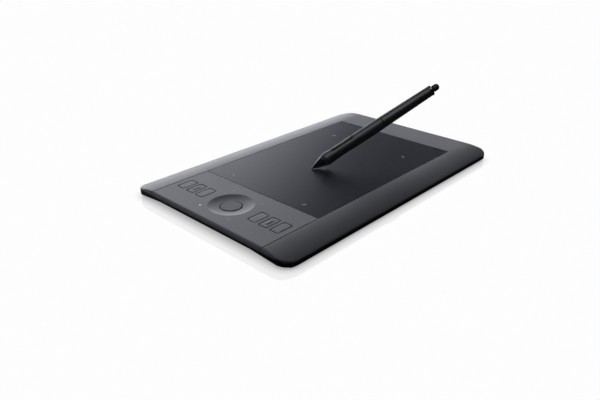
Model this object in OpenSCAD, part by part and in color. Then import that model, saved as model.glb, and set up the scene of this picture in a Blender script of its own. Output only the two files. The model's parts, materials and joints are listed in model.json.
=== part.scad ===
// Pen drawing tablet with a control strip and a cordless pressure pen.
// Origin: centre of the footprint on the table. +X runs to the right end, +Y to the back edge, +Z up.

/* [Tablet] */
// Length, left end to right end
tablet_len = 320; // [300:1:390]
// Depth, front edge to back edge
tablet_dep = 208; // [173:1:250]
// Height of the flat top above the table
tablet_ht = 12; // [11.5:0.5:15]
// Plan radius of the four corners
corner_r = 14; // [8:1:24]
// Depth of the flat top, from the front seam to the back seam
flat_dep = 151.2; // [146:0.2:164]
// Fall of the curved bezel from the flat top to its lower edge
bezel_fall = 5; // [4.6:0.2:6.6]
// Height of the upright edge below the curve
bezel_edge = 0.4; // [0.2:0.1:0.8]
// Angle of the crease where the curved bezel leaves the flat top
bezel_crease = 2; // [1:0.5:6]
// Radius of the rounded top edge at the two ends
end_r = 3; // [2:0.5:4]
// Depth of the end lip below the flat top
end_lip = 3.7; // [3.2:0.1:4.6]
// Height of the case's upright wall below the end lip
end_wall = 2.5; // [1.5:0.1:3.5]
// How far the case is set back behind the end lip
end_step = 0.3; // [0.2:0.1:0.6]
// How far the underside draws in below the end wall
end_taper = 8; // [6:1:12]
// Width of the seams between the fixed top pieces
seam = 0.25; // [0.15:0.05:0.5]

/* [Case] */
// Height of the rubber feet that show below the case
foot_ht = 1.2; // [0.8:0.1:1.6]
// Depth of the pocket that holds a foot
foot_pocket = 0.6; // [0.4:0.1:0.8]
// Length of a foot
foot_len = 30; // [16:1:36]
// Width of a foot
foot_w = 7; // [5:0.5:9]
// Thickness of the case floor
floor_t = 1.6; // [1.4:0.1:2]
// How far the underside draws in along the front and back edges
base_taper = 6; // [3:0.5:8]
// Height of the upright band of the case below the bezel
band_ht = 3.8; // [1.6:0.2:4.2]
// Radius of a case screw head
screw_head_r = 2.6; // [2:0.1:3]
// Radius of a case screw shank
screw_r = 1.25; // [1:0.05:1.5]

/* [Drawing sheet] */
// Thickness of the drawing sheet
sheet_t = 0.8; // [0.5:0.1:1]
// Width of the bezel right of the sheet
right_bezel = 39.2; // [30:0.2:46]
// Thickness of the cover's tray under the sheet
tray_t = 1.6; // [1.2:0.1:1.8]
// Thickness of the sensor board
sensor_t = 1.2; // [0.8:0.1:1.4]
// Thickness of the steel shield under the sensor board
shield_t = 0.5; // [0.3:0.1:0.6]

/* [Control strip] */
// Length of the control panel, left end to the sheet
panel_len = 68; // [64:1:82]
// Thickness of the control panel
panel_t = 3.4; // [3:0.1:3.6]
// Distance of the ring and key centre line from the left end
control_inset = 34.5; // [32:0.5:40]
// Radius of the dished touch ring
ring_r = 21.2; // [17.6:0.2:25.6]
// Depth of the dish where it meets the button
ring_dish = 1.4; // [1:0.1:2.8]
// Slope of the dish where it meets the button
dish_slope = 2; // [1:1:10]
// Radius of the button in the ring
ring_button_r = 10; // [8:0.2:12]
// How far that button stands above the dish's inner edge
ring_button_proud = 0.4; // [0.2:0.1:1.6]
// Distance of the lights from the ring centre, along and across
light_inset = 19.8; // [17:0.2:21]
// Radius of a light
light_r = 0.7; // [0.5:0.1:1]
// Length of a key
key_len = 17.6; // [14:0.2:21]
// Width of a key
key_w = 9.5; // [7.8:0.1:11.5]
// Corner radius of a key
key_r = 1.6; // [1:0.2:3]
// Radius of a key's top edge
key_edge = 0.4; // [0.2:0.1:0.6]
// Bare panel between one key and the next
key_space = 4.3; // [3:0.1:5]
// Bare panel between the ring's rim and the nearest key
ring_key_space = 10.3; // [5:0.1:10.6]
// How far a key stands above the panel
key_proud = 0.05; // [0:0.05:0.4]
// Travel of a key or button
key_travel = 0.5; // [0.3:0.1:0.6]
// Gap between a key and its window
key_gap = 0.3; // [0.2:0.05:0.5]
// Length of the raised bar on the middle keys
bar_len = 8.6; // [5:0.2:12]

/* [Service recess] */
// Distance of the USB socket from the centre line
port_y = 50; // [46:1:56]
// Distance from the USB socket to the power button
button_step = 15; // [12:0.5:16]
// Height of the recess for a plug
recess_ht = 4.2; // [4.2:0.1:4.6]
// Depth of the recess into the right end
recess_depth = 9; // [8:0.5:10]
// Radius of the power button
power_r = 1.6; // [1.2:0.1:1.8]

/* [Battery bay] */
// Width of the bay cover
bay_w = 52; // [48:1:70]
// Distance from the bay cover's inner end to the back edge
bay_len = 64; // [62:1:76]
// Distance of the bay's centre line from the right end
bay_inset = 82; // [76:1:96]
// Side tongue of the cover in its rail
bay_tongue = 1.2; // [0.8:0.1:1.6]
// Width of the battery pack in the bay
pack_w = 35.4; // [30:0.2:40]

/* [Pen] */
// Length of the pen
pen_len = 157.5; // [154:0.5:190]
// Radius at the grip's front shoulder
shoulder_r = 7; // [6.8:0.05:8]
// Radius at the grip's waist under the rocker
waist_r = 6.1; // [6:0.05:6.6]
// Radius at the grip's swell behind the rocker
grip_r = 6.55; // [6.3:0.05:7.9]
// Radius at the joint between grip and barrel
joint_r = 6.3; // [6:0.05:6.8]
// Radius at the barrel's tail
tail_r = 5.4; // [5.2:0.05:5.9]
// Length of the nose cone from the nib's point
nose_len = 18; // [17:0.5:20]
// Distance of the grip's rear end from the nib's point
grip_end = 86.8; // [78:0.2:104]
// Radius of the nib
nib_r = 0.8; // [0.6:0.05:1]
// Travel of the nib
nib_travel = 0.5; // [0.3:0.1:0.6]
// Radius of the eraser
eraser_r = 3.5; // [2.9:0.1:3.8]
// Travel of the eraser
eraser_travel = 0.8; // [0.4:0.1:1]
// Length of the side rocker
rocker_len = 25; // [20:0.5:30]
// Width of the side rocker
rocker_w = 4.8; // [4:0.1:5.4]
// How far the rocker stands out of the grip
rocker_proud = 0.4; // [0.3:0.1:0.8]
// Distance of the rocker's pivot from the nib's point
rocker_at = 40.4; // [38:0.2:44]
// Lean of the pen from upright
pen_tilt = 62; // [40:0.5:64]
// Heading of the pen's tail, from the right end towards the back
pen_yaw = -28; // [-60:1:0]
// Turn of the rocker about the pen's own axis
pen_roll = 178; // [150:1:210]

/* [Hidden] */
$fn = 96;
arc_tol = 0.01;
eps = 0.5;

// Heights in the tablet
floor_top = foot_ht + floor_t;
split_z = tablet_ht - bezel_fall - bezel_edge;
band_low = max(split_z - band_ht, foot_ht + 0.6);
lip_z = tablet_ht - end_lip;
lip_run = 3;
end_low = lip_z - end_wall;
end_flat = 42;
end_corner = 4;
lip_slope = (lip_z - split_z) / lip_run;
tray_top = tablet_ht - sheet_t;
tray_low = tray_top - tray_t;
sensor_low = tray_low - sensor_t;
shield_low = sensor_low - shield_t;
panel_low = tablet_ht - panel_t;

// Places along the tablet
left_x = -tablet_len / 2;
right_x = tablet_len / 2;
panel_x = left_x + panel_len;
sheet_x = right_x - right_bezel;
rim_x = right_x - end_step;
control_x = left_x + control_inset;
recess_x = right_x - recess_depth;
port_wall = 2.5;
pocket_x0 = left_x + 12;
pocket_x1 = recess_x - port_wall;
pocket_dep = flat_dep - 4;
cover_gap = 0.2;
press_gap = 0.02;
run_gap = 0.05;

// Curved bezel: an arc from the crease at the seam to the lower edge
bezel_run = (tablet_dep - flat_dep) / 2;
bezel_end = 2 * atan(bezel_fall / bezel_run) - bezel_crease;
bezel_r = bezel_run / (sin(bezel_end) - sin(bezel_crease));

// Dished ring: an arc that rises from the button's edge and ends steeper at the rim
dish_in = ring_button_r + key_gap;
dish_run = ring_r - dish_in;
dish_start = min(dish_slope, 0.8 * atan(ring_dish / dish_run));
dish_end = 2 * atan(ring_dish / dish_run) - dish_start;
dish_r = dish_run / (sin(dish_end) - sin(dish_start));
ring_top = tablet_ht - ring_dish + ring_button_proud;

// Keys, switches and the board under them
key_pitch = key_w + key_space;
key_first = ring_r + ring_key_space + key_w / 2;
key_last = key_first + 2 * key_pitch;
key_ys = [for (y0 = [key_last, -key_first], k = [0 : 2]) y0 - k * key_pitch];
key_top = tablet_ht + key_proud;
bar_keys = [1, 4];
bar_w = 1.2;
bar_ht = 0.35;
bar_r = 0.4;
flange_t = 0.9;
flange_lip = 0.8;
flange_gap = 0.1;
flange_top = panel_low - flange_gap;
flange_low = flange_top - flange_t;
stem_r = 2.4;
stem_len = 0.85;
stem_low = flange_low - stem_len;
switch_ht = 0.7;
switch_w = 5;
dome_r = 1.6;
switch_top = stem_low - key_travel - run_gap;
board_top = switch_top - switch_ht;
board_t = 1;
board_low = board_top - board_t;
board_x0 = pocket_x0 + 2;
board_x1 = panel_x - 4;
board_dep = flat_dep - 10;
boss_r = 2.8;
board_screw_r = 0.8;
board_head_r = 1.6;
board_head_t = 0.8;
board_screw_grip = 1.2;
board_screw_inset = 5;
board_screw_xs = [board_x0 + board_screw_inset, board_x1 - board_screw_inset];
board_screw_ys = [-board_dep / 2 + board_screw_inset, 0, board_dep / 2 - board_screw_inset];
chip_size = [1.6, 0.8, 0.6];
electrode_t = 0.6;
electrode_inset = 0.8;

// Main board, socket and power button
port_low = floor_top + 0.4;
port_top = port_low + recess_ht;
port_mid = (port_low + port_top) / 2;
socket_w = 8;
socket_ht = 2.6;
socket_len = 7.6;
main_low = port_mid + socket_ht / 2;
main_t = 1;
power_y = port_y + button_step;
power_proud = 0.4;
power_flange = 0.5;
power_flange_t = 1.5;
power_travel = 0.4;
power_back = pocket_x1 - cover_gap - power_flange_t - power_travel - 2 * run_gap;
recess_lip = 1;
recess_y0 = port_y - 8;
recess_y1 = power_y + 6;
main_x0 = sheet_x + 5;
main_x1 = power_back - 0.3;
main_y0 = port_y - 14;
main_y1 = pocket_dep / 2 - 2;
main_boss_x = main_x0 + 4;
main_boss_ys = [main_y0 + 4, main_y1 - 4];

// Case screws along the front and back edges
screw_y = (pocket_dep + tablet_dep) / 4;
screw_xs = [left_x + 40, 0, right_x - 40];
screw_seat = foot_ht + 1.6;
screw_head_t = 1.3;
screw_tip = tablet_ht - bezel_fall / 2 - 1;
foot_gap = 0.1;
foot_xs = [left_x + 32, 0, right_x - 32];
foot_y = screw_y - screw_head_r - foot_w / 2 - 3;

// Battery bay at the back edge
bay_x = right_x - bay_inset;
bay_y0 = tablet_dep / 2 - bay_len;
tongue_z = foot_ht + 0.8;
cover_top = floor_top - 0.1;
bay_ridges = 3;
bay_ridge_r = 0.8;
bay_ridge_y = tablet_dep / 2 - base_taper - 5;
bay_ridge_step = 3;
pack_low = floor_top + 0.05;
pack_top = shield_low - 0.5;
pack_x0 = bay_x - bay_w / 2 + 1;
pack_y1 = pocket_dep / 2 - 1.5;

// Posts that hold up the shield plate
post_r = 3;
post_xs = [for (k = [0 : 3]) panel_x + 14 + k * (bay_x - bay_w / 2 - panel_x - 24) / 3];
post_ys = [-flat_dep / 2 + 18, 0, flat_dep / 2 - 18];

// Pen, measured along its own axis from the nib's point
nib_end = nose_len + 2.8;
nose_front = 2.2;
nose_ring = 4.2;
nose_tip_r = 1.3;
nose_ring_r = 2.5;
nose_step = 0.25;
nose_lip_r = shoulder_r - nose_step;
grip_bore = 4.6;
spigot_r = grip_bore - run_gap;
spigot_len = 8;
coil_bore = 2.5;
coil_at = nose_ring + 4.4;
coil_r = coil_bore - 0.1;
wind_r = 1.8;
core_r = wind_r - run_gap;
core_bore = nib_r + 0.15;
sensor_at = nib_end + nib_travel + 0.1;
sensor_end = nose_len + spigot_len + 0.6;
waist_at = rocker_at - 3.4;
belly_at = rocker_at + 24.6;
flare_run = waist_at - nose_len;
flare_drop = shoulder_r - waist_r;
flare_r = (flare_run * flare_run + flare_drop * flare_drop) / (2 * flare_drop);
joint_gap = 0.4;
barrel_start = grip_end + joint_gap;
eraser_shoulder = pen_len - 6.7;
tail_end = eraser_shoulder - eraser_travel - 0.4;
neck_len = 1.2;
ring_len = 2.2;
tail_step = 0.35;
barrel_end = tail_end - neck_len - ring_len - 0.2;
barrel_bore = 4;
tail_spigot = 7;
shaft_r = 2.65;
shaft_len = 8.4;
pin_r = 0.6;
pin_at = 4.4;
pin_len = 6.6;
rocker_gap = 0.4;
rocker_low = 3.4;
rocker_out = max(shoulder_r, grip_r) + 2;
pcb_w = 5.6;
pcb_t = 1;
push_w = 3;
push_ht = 2.2;
push_at = 9;
spigot_bore = 3.4;
nib_gap = 0.05;
tip_x = (panel_x + sheet_x) / 2 - 31.5;
tip_y = 1;
tip_z = tablet_ht + nib_gap + nib_r * (1 - cos(pen_tilt));

// Facet count that keeps a drawn arc within arc_tol of the true one
function arc_fn(r) = max(96, 8 * ceil(180 / acos(1 - arc_tol / r) / 8));

// Flat outline with four round corners, centred
module rounded_rect(len, wid, r) {
    square([len - 2 * r, wid], center = true);
    square([len, wid - 2 * r], center = true);
    for (sx = [-1, 1], sy = [-1, 1])
        translate([sx * (len / 2 - r), sy * (wid / 2 - r)]) circle(r);
}

// Box between two corners
module span(low, high) {
    translate(low) cube(high - low);
}

// Cross-section of the top, front to back: flat between the seams, then an arc each side
module arch_profile() {
    intersection() {
        translate([-tablet_dep / 2 - 1, 0]) square([tablet_dep + 2, tablet_ht]);
        union() {
            translate([-flat_dep / 2, 0]) square([flat_dep, tablet_ht]);
            for (side = [-1, 1])
                translate([side * (flat_dep / 2 - bezel_r * sin(bezel_crease)),
                           tablet_ht - bezel_r * cos(bezel_crease)])
                    circle(bezel_r, $fn = arc_fn(bezel_r));
        }
    }
}

// Lengthwise section of the top: rounded end and a lip that slopes in to the parting plane
module end_profile() {
    difference() {
        union() {
            translate([left_x, 0]) square([tablet_len, tablet_ht - end_r]);
            translate([left_x + end_r, 0]) square([tablet_len - 2 * end_r, tablet_ht]);
            for (side = [-1, 1])
                translate([side * (right_x - end_r), tablet_ht - end_r]) circle(end_r);
        }
        for (side = [-1, 1])
            polygon([
                [side * right_x, lip_z],
                [side * (right_x + 1), lip_z],
                [side * (right_x + 1), -1],
                [side * (right_x - (lip_z + 1) / lip_slope), -1]
            ]);
    }
}

// Lengthwise section of the case's upper part: flat top, and rims under the lips
module base_end_profile() {
    rim_low = lip_z - cover_gap;
    in_x = right_x - (rim_low - split_z) / lip_slope;
    polygon([
        [in_x, split_z],
        [rim_x, rim_low - lip_slope * end_step],
        [rim_x, -1],
        [-rim_x, -1],
        [-rim_x, rim_low - lip_slope * end_step],
        [-in_x, split_z]
    ]);
}

// What is cut away below an end wall: the underside draws in, less and less towards the corners
module end_cut() {
    slope = (end_low - foot_ht) / end_taper;
    corner_slope = (end_low - band_low) / (end_flat - end_corner);
    intersection() {
        rotate([90, 0, 0]) linear_extrude(tablet_dep + 2, center = true)
            polygon([
                [rim_x + 1, end_low + slope],
                [rim_x + 1, -1],
                [rim_x - (end_low + 1) / slope, -1]
            ]);
        rotate([90, 0, 90]) linear_extrude(tablet_len + 2, center = true)
            polygon([
                for (side = [-1, 1])
                    for (z = side < 0 ? [-1, end_low + 1] : [end_low + 1, -1])
                        [side * (tablet_dep / 2 - end_flat + (end_low - z) / corner_slope), z]
            ]);
    }
}

// Outer form of everything above the parting plane
module top_form() {
    intersection() {
        rotate([90, 0, 90]) linear_extrude(tablet_len + 2, center = true) arch_profile();
        rotate([90, 0, 0]) linear_extrude(tablet_dep + 2, center = true) end_profile();
        translate([0, 0, split_z])
            linear_extrude(tablet_ht) rounded_rect(tablet_len, tablet_dep, corner_r);
    }
}

// Cross-section of the case, front to back: upright band, then drawn in to the flat underside
module base_profile() {
    slope = (band_low - foot_ht) / base_taper;
    polygon([
        [-tablet_dep / 2 - 1, tablet_ht],
        [-tablet_dep / 2 - 1, band_low + slope],
        [-tablet_dep / 2 + base_taper + 1, foot_ht - slope],
        [tablet_dep / 2 - base_taper - 1, foot_ht - slope],
        [tablet_dep / 2 + 1, band_low + slope],
        [tablet_dep / 2 + 1, tablet_ht]
    ]);
}

// Outer form of the case: up to the parting plane, and to the lips at the ends
module base_form() {
    difference() {
        intersection() {
            translate([0, 0, foot_ht])
                linear_extrude(tablet_ht - foot_ht - 1) rounded_rect(tablet_len, tablet_dep, corner_r);
            rotate([90, 0, 90]) linear_extrude(tablet_len + 2, center = true) base_profile();
            rotate([90, 0, 0]) linear_extrude(tablet_dep + 2, center = true) base_end_profile();
        }
        end_cut();
        mirror([1, 0, 0]) end_cut();
    }
}

// Moulded cover: arched front and back bezels, right bezel and the tray under the sheet
module top_cover() {
    color([0.23, 0.24, 0.26]) difference() {
        top_form();
        span([left_x - 1, -flat_dep / 2, split_z - 1], [panel_x, flat_dep / 2, tablet_ht + 1]);
        span([panel_x - 1, -flat_dep / 2, tray_top], [sheet_x, flat_dep / 2, tablet_ht + 1]);
        span([panel_x - 1, -pocket_dep / 2, split_z - 1], [pocket_x1, pocket_dep / 2, tray_low]);
        span([pocket_x1 - cover_gap, recess_y0 - recess_lip - cover_gap, split_z - 1],
             [right_x + 1, recess_y1 + recess_lip + cover_gap, port_top + cover_gap]);
        for (x = screw_xs, side = [-1, 1])
            translate([x, side * screw_y, split_z - 1])
                cylinder(screw_tip - split_z + 1 + eps, r = screw_r + press_gap);
    }
}

// Window for a key: its outline and a gap all round
module key_outline(grow) {
    rounded_rect(key_len + 2 * grow, key_w + 2 * grow, key_r + grow);
}

// Ring-shaped bowl that hollows the touch ring
module dish() {
    translate([control_x, 0, 0]) rotate_extrude() intersection() {
        translate([dish_in - dish_r * sin(dish_start),
                   tablet_ht - ring_dish + dish_r * cos(dish_start)])
            circle(dish_r, $fn = arc_fn(dish_r));
        translate([dish_in - 1, panel_low]) square([dish_run + 2, panel_t + 1]);
    }
}

// Control panel that fills the left end and wraps over its edge
module control_panel() {
    color([0.25, 0.26, 0.28]) difference() {
        intersection() {
            top_form();
            union() {
                span([left_x - 1, -flat_dep / 2 + seam, panel_low],
                     [panel_x - seam, flat_dep / 2 - seam, tablet_ht + 1]);
                span([left_x - 1, -flat_dep / 2 + seam, split_z],
                     [left_x + end_r + 2, flat_dep / 2 - seam, tablet_ht + 1]);
            }
        }
        dish();
        translate([control_x, 0, panel_low - 1]) cylinder(panel_t + 2, r = ring_button_r + key_gap);
        for (y = key_ys)
            translate([control_x, y, panel_low - 1]) linear_extrude(panel_t + 2) key_outline(key_gap);
        for (sx = [-1, 1], sy = [-1, 1])
            translate([control_x + sx * light_inset, sy * light_inset, panel_low - 1])
                cylinder(panel_t + 2, r = light_r + press_gap);
    }
}

// Replaceable drawing sheet, flush with the top
module drawing_sheet() {
    color([0.17, 0.17, 0.19])
        span([panel_x + seam, -flat_dep / 2 + seam, tray_top],
             [sheet_x - seam, flat_dep / 2 - seam, tablet_ht]);
}

// T-shaped slide section of the bay cover, from its inner end out past the back edge
module bay_slide(gap) {
    panel_half = bay_w / 2 + gap;
    tongue_half = panel_half + bay_tongue;
    span([bay_x - panel_half, bay_y0 - gap, foot_ht - eps],
         [bay_x + panel_half, tablet_dep / 2 + 1, tongue_z + eps]);
    span([bay_x - tongue_half, bay_y0 - gap, tongue_z - gap],
         [bay_x + tongue_half, tablet_dep / 2 + 1, cover_top + gap]);
}

// Tray of the case with bosses, posts, foot pockets, bay and service recess
module bottom_case() {
    color([0.04, 0.04, 0.045]) difference() {
        union() {
            difference() {
                base_form();
                translate([(pocket_x0 + pocket_x1) / 2, 0, floor_top])
                    linear_extrude(tablet_ht) square([pocket_x1 - pocket_x0, pocket_dep], center = true);
            }
            span([pocket_x1, recess_y0 - recess_lip, floor_top],
                 [recess_x, recess_y1 + recess_lip, port_top]);
            for (x = board_screw_xs, y = board_screw_ys)
                translate([x, y, foot_ht + eps]) cylinder(board_low - foot_ht - eps, r = boss_r);
            for (y = main_boss_ys)
                translate([main_boss_x, y, foot_ht + eps]) cylinder(main_low - foot_ht - eps, r = boss_r);
            for (x = post_xs, y = post_ys)
                translate([x, y, foot_ht + eps]) cylinder(shield_low - foot_ht - eps, r = post_r);
        }
        span([recess_x, recess_y0, port_low], [right_x + 1, recess_y1, tablet_ht]);
        span([pocket_x1 - 1, port_y - socket_w / 2 - cover_gap, port_mid - socket_ht / 2 - cover_gap],
             [recess_x + 1, port_y + socket_w / 2 + cover_gap, port_mid + socket_ht / 2 + cover_gap]);
        translate([pocket_x1 - 1, power_y, port_mid]) rotate([0, 90, 0])
            cylinder(port_wall + 2, r = power_r + run_gap);
        bay_slide(cover_gap);
        for (x = foot_xs, side = [-1, 1])
            translate([x, side * foot_y, 0]) linear_extrude(foot_ht + foot_pocket) foot_outline(foot_gap);
        for (x = screw_xs, side = [-1, 1]) {
            translate([x, side * screw_y, 0])
                cylinder(screw_seat + screw_head_t, r = screw_head_r + cover_gap);
            translate([x, side * screw_y, 0]) cylinder(tablet_ht, r = screw_r + press_gap);
        }
        for (x = board_screw_xs, y = board_screw_ys)
            translate([x, y, floor_top]) cylinder(tablet_ht, r = board_screw_r + press_gap);
    }
}

// Outline of a rubber foot: a bar with round ends
module foot_outline(grow) {
    square([foot_len - foot_w, foot_w + 2 * grow], center = true);
    for (side = [-1, 1])
        translate([side * (foot_len - foot_w) / 2, 0]) circle(foot_w / 2 + grow);
}

// Rubber feet pressed into their pockets
module feet() {
    color([0.09, 0.09, 0.09])
        for (x = foot_xs, side = [-1, 1])
            translate([x, side * foot_y, 0]) linear_extrude(foot_ht + foot_pocket) foot_outline(0);
}

// Cross-head screw, head down at the origin, shank up
module screw(head_r, head_t, shank_r, len) {
    slot_len = 1.3 * head_r;
    slot_w = 0.3 * head_r;
    difference() {
        union() {
            cylinder(head_t, r = head_r);
            cylinder(len, r = shank_r);
        }
        for (turn = [0, 90])
            rotate([0, 0, turn]) cube([slot_len, slot_w, head_t], center = true);
    }
}

// Screws from the underside into the cover's bezels
module case_screws() {
    color([0.2, 0.2, 0.21])
        for (x = screw_xs, side = [-1, 1])
            translate([x, side * screw_y, screw_seat])
                screw(screw_head_r, screw_head_t, screw_r, screw_tip - screw_seat);
}

// Pen sensor board under the tray
module sensor_board() {
    color([0.1, 0.3, 0.16])
        span([panel_x + 3, -pocket_dep / 2 + 1, sensor_low], [sheet_x - 3, pocket_dep / 2 - 1, tray_low]);
}

// Steel shield plate behind the sensor board
module shield_plate() {
    color([0.6, 0.61, 0.62])
        span([panel_x + 3, -pocket_dep / 2 + 1, shield_low], [sheet_x - 3, pocket_dep / 2 - 1, sensor_low]);
}

// Board under the keys and the ring
module control_board() {
    color([0.1, 0.3, 0.16]) difference() {
        span([board_x0, -board_dep / 2, board_low], [board_x1, board_dep / 2, board_top]);
        for (x = board_screw_xs, y = board_screw_ys)
            translate([x, y, board_low - 1]) cylinder(board_t + 2, r = board_screw_r + press_gap);
    }
}

// Dome switches under the six keys and the ring button
module key_switches() {
    color([0.75, 0.75, 0.73])
        for (y = concat(key_ys, [0]))
            translate([control_x, y, board_top]) {
                translate([0, 0, switch_ht / 4]) cube([switch_w, switch_w, switch_ht / 2], center = true);
                cylinder(switch_ht, r = dome_r);
            }
}

// Screws that hold the control board on its bosses
module board_screws() {
    color([0.7, 0.7, 0.7])
        for (x = board_screw_xs, y = board_screw_ys)
            translate([x, y, board_top + board_head_t]) mirror([0, 0, 1])
                screw(board_head_r, board_head_t, board_screw_r, board_head_t + board_t + board_screw_grip);
}

// Touch electrode ring under the dish
module ring_sensor() {
    color([0.65, 0.45, 0.2]) translate([control_x, 0, panel_low - electrode_t]) difference() {
        cylinder(electrode_t, r = ring_r - electrode_inset);
        translate([0, 0, -1]) cylinder(electrode_t + 2, r = ring_button_r + key_gap + flange_lip + 0.7);
    }
}

// Clear rods that carry the four ring lights to the surface
module ring_light_pipes() {
    color([0.85, 0.87, 0.9])
        for (sx = [-1, 1], sy = [-1, 1])
            translate([control_x + sx * light_inset, sy * light_inset, board_top + chip_size.z])
                cylinder(tablet_ht - board_top - chip_size.z, r = light_r);
}

// Light chips on the control board, one under each rod
module ring_light_chips() {
    color([0.95, 0.93, 0.8])
        for (sx = [-1, 1], sy = [-1, 1])
            translate([control_x + sx * light_inset, sy * light_inset, board_top + chip_size.z / 2])
                cube(chip_size, center = true);
}

// Main board at the right end
module main_board() {
    color([0.1, 0.3, 0.16])
        span([main_x0, main_y0, main_low], [main_x1, main_y1, main_low + main_t]);
}

// USB socket hung under the main board, its mouth in the recess wall
module usb_socket() {
    mouth_w = 6.9;
    mouth_ht = 1.8;
    back_t = 1.5;
    tongue_w = 4;
    tongue_ht = 0.6;
    color([0.7, 0.7, 0.72]) translate([recess_x - socket_len, port_y, port_mid]) {
        difference() {
            translate([0, -socket_w / 2, -socket_ht / 2]) cube([socket_len, socket_w, socket_ht]);
            translate([back_t, -mouth_w / 2, -mouth_ht / 2]) cube([socket_len, mouth_w, mouth_ht]);
        }
        translate([1, -tongue_w / 2, -tongue_ht / 2]) cube([socket_len - 2, tongue_w, tongue_ht]);
    }
}

// Side-push switch behind the power button
module power_switch() {
    body_len = 4;
    body_w = 5;
    plunger_len = 0.6;
    plunger_r = 0.8;
    front = power_back - plunger_len;
    color([0.3, 0.3, 0.3]) {
        span([front - body_len, power_y - body_w / 2, port_mid - 1],
             [front, power_y + body_w / 2, main_low]);
        translate([front - eps, power_y, port_mid]) rotate([0, 90, 0])
            cylinder(plunger_len + eps, r = plunger_r);
    }
}

// Flat rechargeable pack above the bay cover
module battery_pack() {
    color([0.15, 0.15, 0.17])
        span([pack_x0, bay_y0 + 2, pack_low], [pack_x0 + pack_w, pack_y1, pack_top]);
}

// Radio module beside the pack
module wireless_module() {
    color([0.08, 0.08, 0.09])
        span([pack_x0 + pack_w + 1, bay_y0 + 2, pack_low], [bay_x + bay_w / 2 - 1, pack_y1, pack_top - 1]);
}

// Upright section of a key cap across its length or width, with round top edges
module cap_section(wid) {
    translate([-wid / 2, flange_low - 1]) square([wid, key_top - key_edge - flange_low + 1]);
    translate([-wid / 2 + key_edge, flange_low - 1]) square([wid - 2 * key_edge, key_top - flange_low + 1]);
    for (side = [-1, 1])
        translate([side * (wid / 2 - key_edge), key_top - key_edge]) circle(key_edge);
}

// Key cap: its outline, cut by the two sections
module key_cap() {
    intersection() {
        translate([0, 0, flange_low]) linear_extrude(key_top - flange_low + 1) key_outline(0);
        rotate([90, 0, 0]) linear_extrude(key_w + 2, center = true) cap_section(key_len);
        rotate([90, 0, 90]) linear_extrude(key_len + 2, center = true) cap_section(key_w);
    }
}

// One key: cap, retaining flange under the panel, stem over its switch
module key(k) {
    color([0.24, 0.25, 0.27]) translate([control_x, key_ys[k], 0]) {
        key_cap();
        translate([0, 0, flange_low]) linear_extrude(flange_t) key_outline(key_gap + flange_lip);
        translate([0, 0, stem_low]) cylinder(flange_low - stem_low + eps, r = stem_r);
        if (len(search(k, bar_keys)) > 0)
            translate([0, 0, key_top - eps])
                linear_extrude(eps + bar_ht) rounded_rect(bar_len, bar_w, bar_r);
    }
}
module key_1() { key(0); }
module key_2() { key(1); }
module key_3() { key(2); }
module key_4() { key(3); }
module key_5() { key(4); }
module key_6() { key(5); }

// Flat button with a round edge at the bottom of the dish
module ring_button() {
    color([0.25, 0.26, 0.28]) translate([control_x, 0, 0]) {
        rotate_extrude() {
            translate([0, flange_low]) square([ring_button_r, ring_top - key_edge - flange_low]);
            translate([0, flange_low]) square([ring_button_r - key_edge, ring_top - flange_low]);
            translate([ring_button_r - key_edge, ring_top - key_edge]) circle(key_edge);
        }
        translate([0, 0, flange_low]) cylinder(flange_t, r = ring_button_r + key_gap + flange_lip);
        translate([0, 0, stem_low]) cylinder(flange_low - stem_low + eps, r = stem_r);
    }
}

// Power button in the service recess
module power_button() {
    color([0.1, 0.1, 0.11]) translate([pocket_x1 - cover_gap, power_y, port_mid]) rotate([0, 90, 0]) {
        translate([0, 0, -power_flange_t]) cylinder(power_flange_t, r = power_r + power_flange);
        translate([0, 0, -power_flange_t])
            cylinder(power_flange_t + cover_gap + port_wall + power_proud, r = power_r);
    }
}

// Sliding cover of the bay, flush with the underside and the back edge
module bay_cover() {
    color([0.045, 0.045, 0.05]) difference() {
        intersection() {
            base_form();
            bay_slide(0);
        }
        for (k = [0 : bay_ridges - 1])
            translate([bay_x, bay_ridge_y - k * bay_ridge_step, foot_ht - bay_ridge_r / 2])
                rotate([0, 90, 0]) cylinder(bay_w / 2, r = bay_ridge_r, center = true);
    }
}

// Puts a pen piece, drawn upright on its point, where the pen stands on the sheet
module pen_place() {
    translate([tip_x, tip_y, tip_z]) rotate([0, pen_tilt, pen_yaw]) rotate([0, 0, pen_roll]) children();
}

// Tube or rod from one height to another
module rod(low, high, r, bore = 0) {
    difference() {
        translate([0, 0, low]) cylinder(high - low, r = r);
        if (bore > 0)
            translate([0, 0, low - 1]) cylinder(high - low + 2, r = bore);
    }
}

// Half-section of the grip: a hollow flare to the waist, a swell, then a taper
module grip_profile() {
    difference() {
        translate([0, nose_len]) square([shoulder_r + 1, flare_run]);
        translate([waist_r + flare_r, waist_at]) circle(flare_r, $fn = arc_fn(flare_r));
    }
    polygon([[0, waist_at], [waist_r, waist_at], [grip_r, belly_at], [joint_r, grip_end], [0, grip_end]]);
}

// Nose cone with its front ring, screwed into the grip
module pen_nose() {
    color([0.03, 0.03, 0.035]) pen_place() difference() {
        union() {
            rotate_extrude() polygon([
                [0, nose_front],
                [nose_tip_r, nose_front],
                [nose_ring_r - nose_step, nose_ring],
                [nose_ring_r, nose_ring],
                [nose_lip_r, nose_len],
                [0, nose_len]
            ]);
            rod(nose_len - eps, nose_len + spigot_len, spigot_r);
        }
        rod(0, nose_len, nib_r + run_gap);
        rod(coil_at, nose_len + spigot_len + 1, coil_bore);
    }
}

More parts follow.
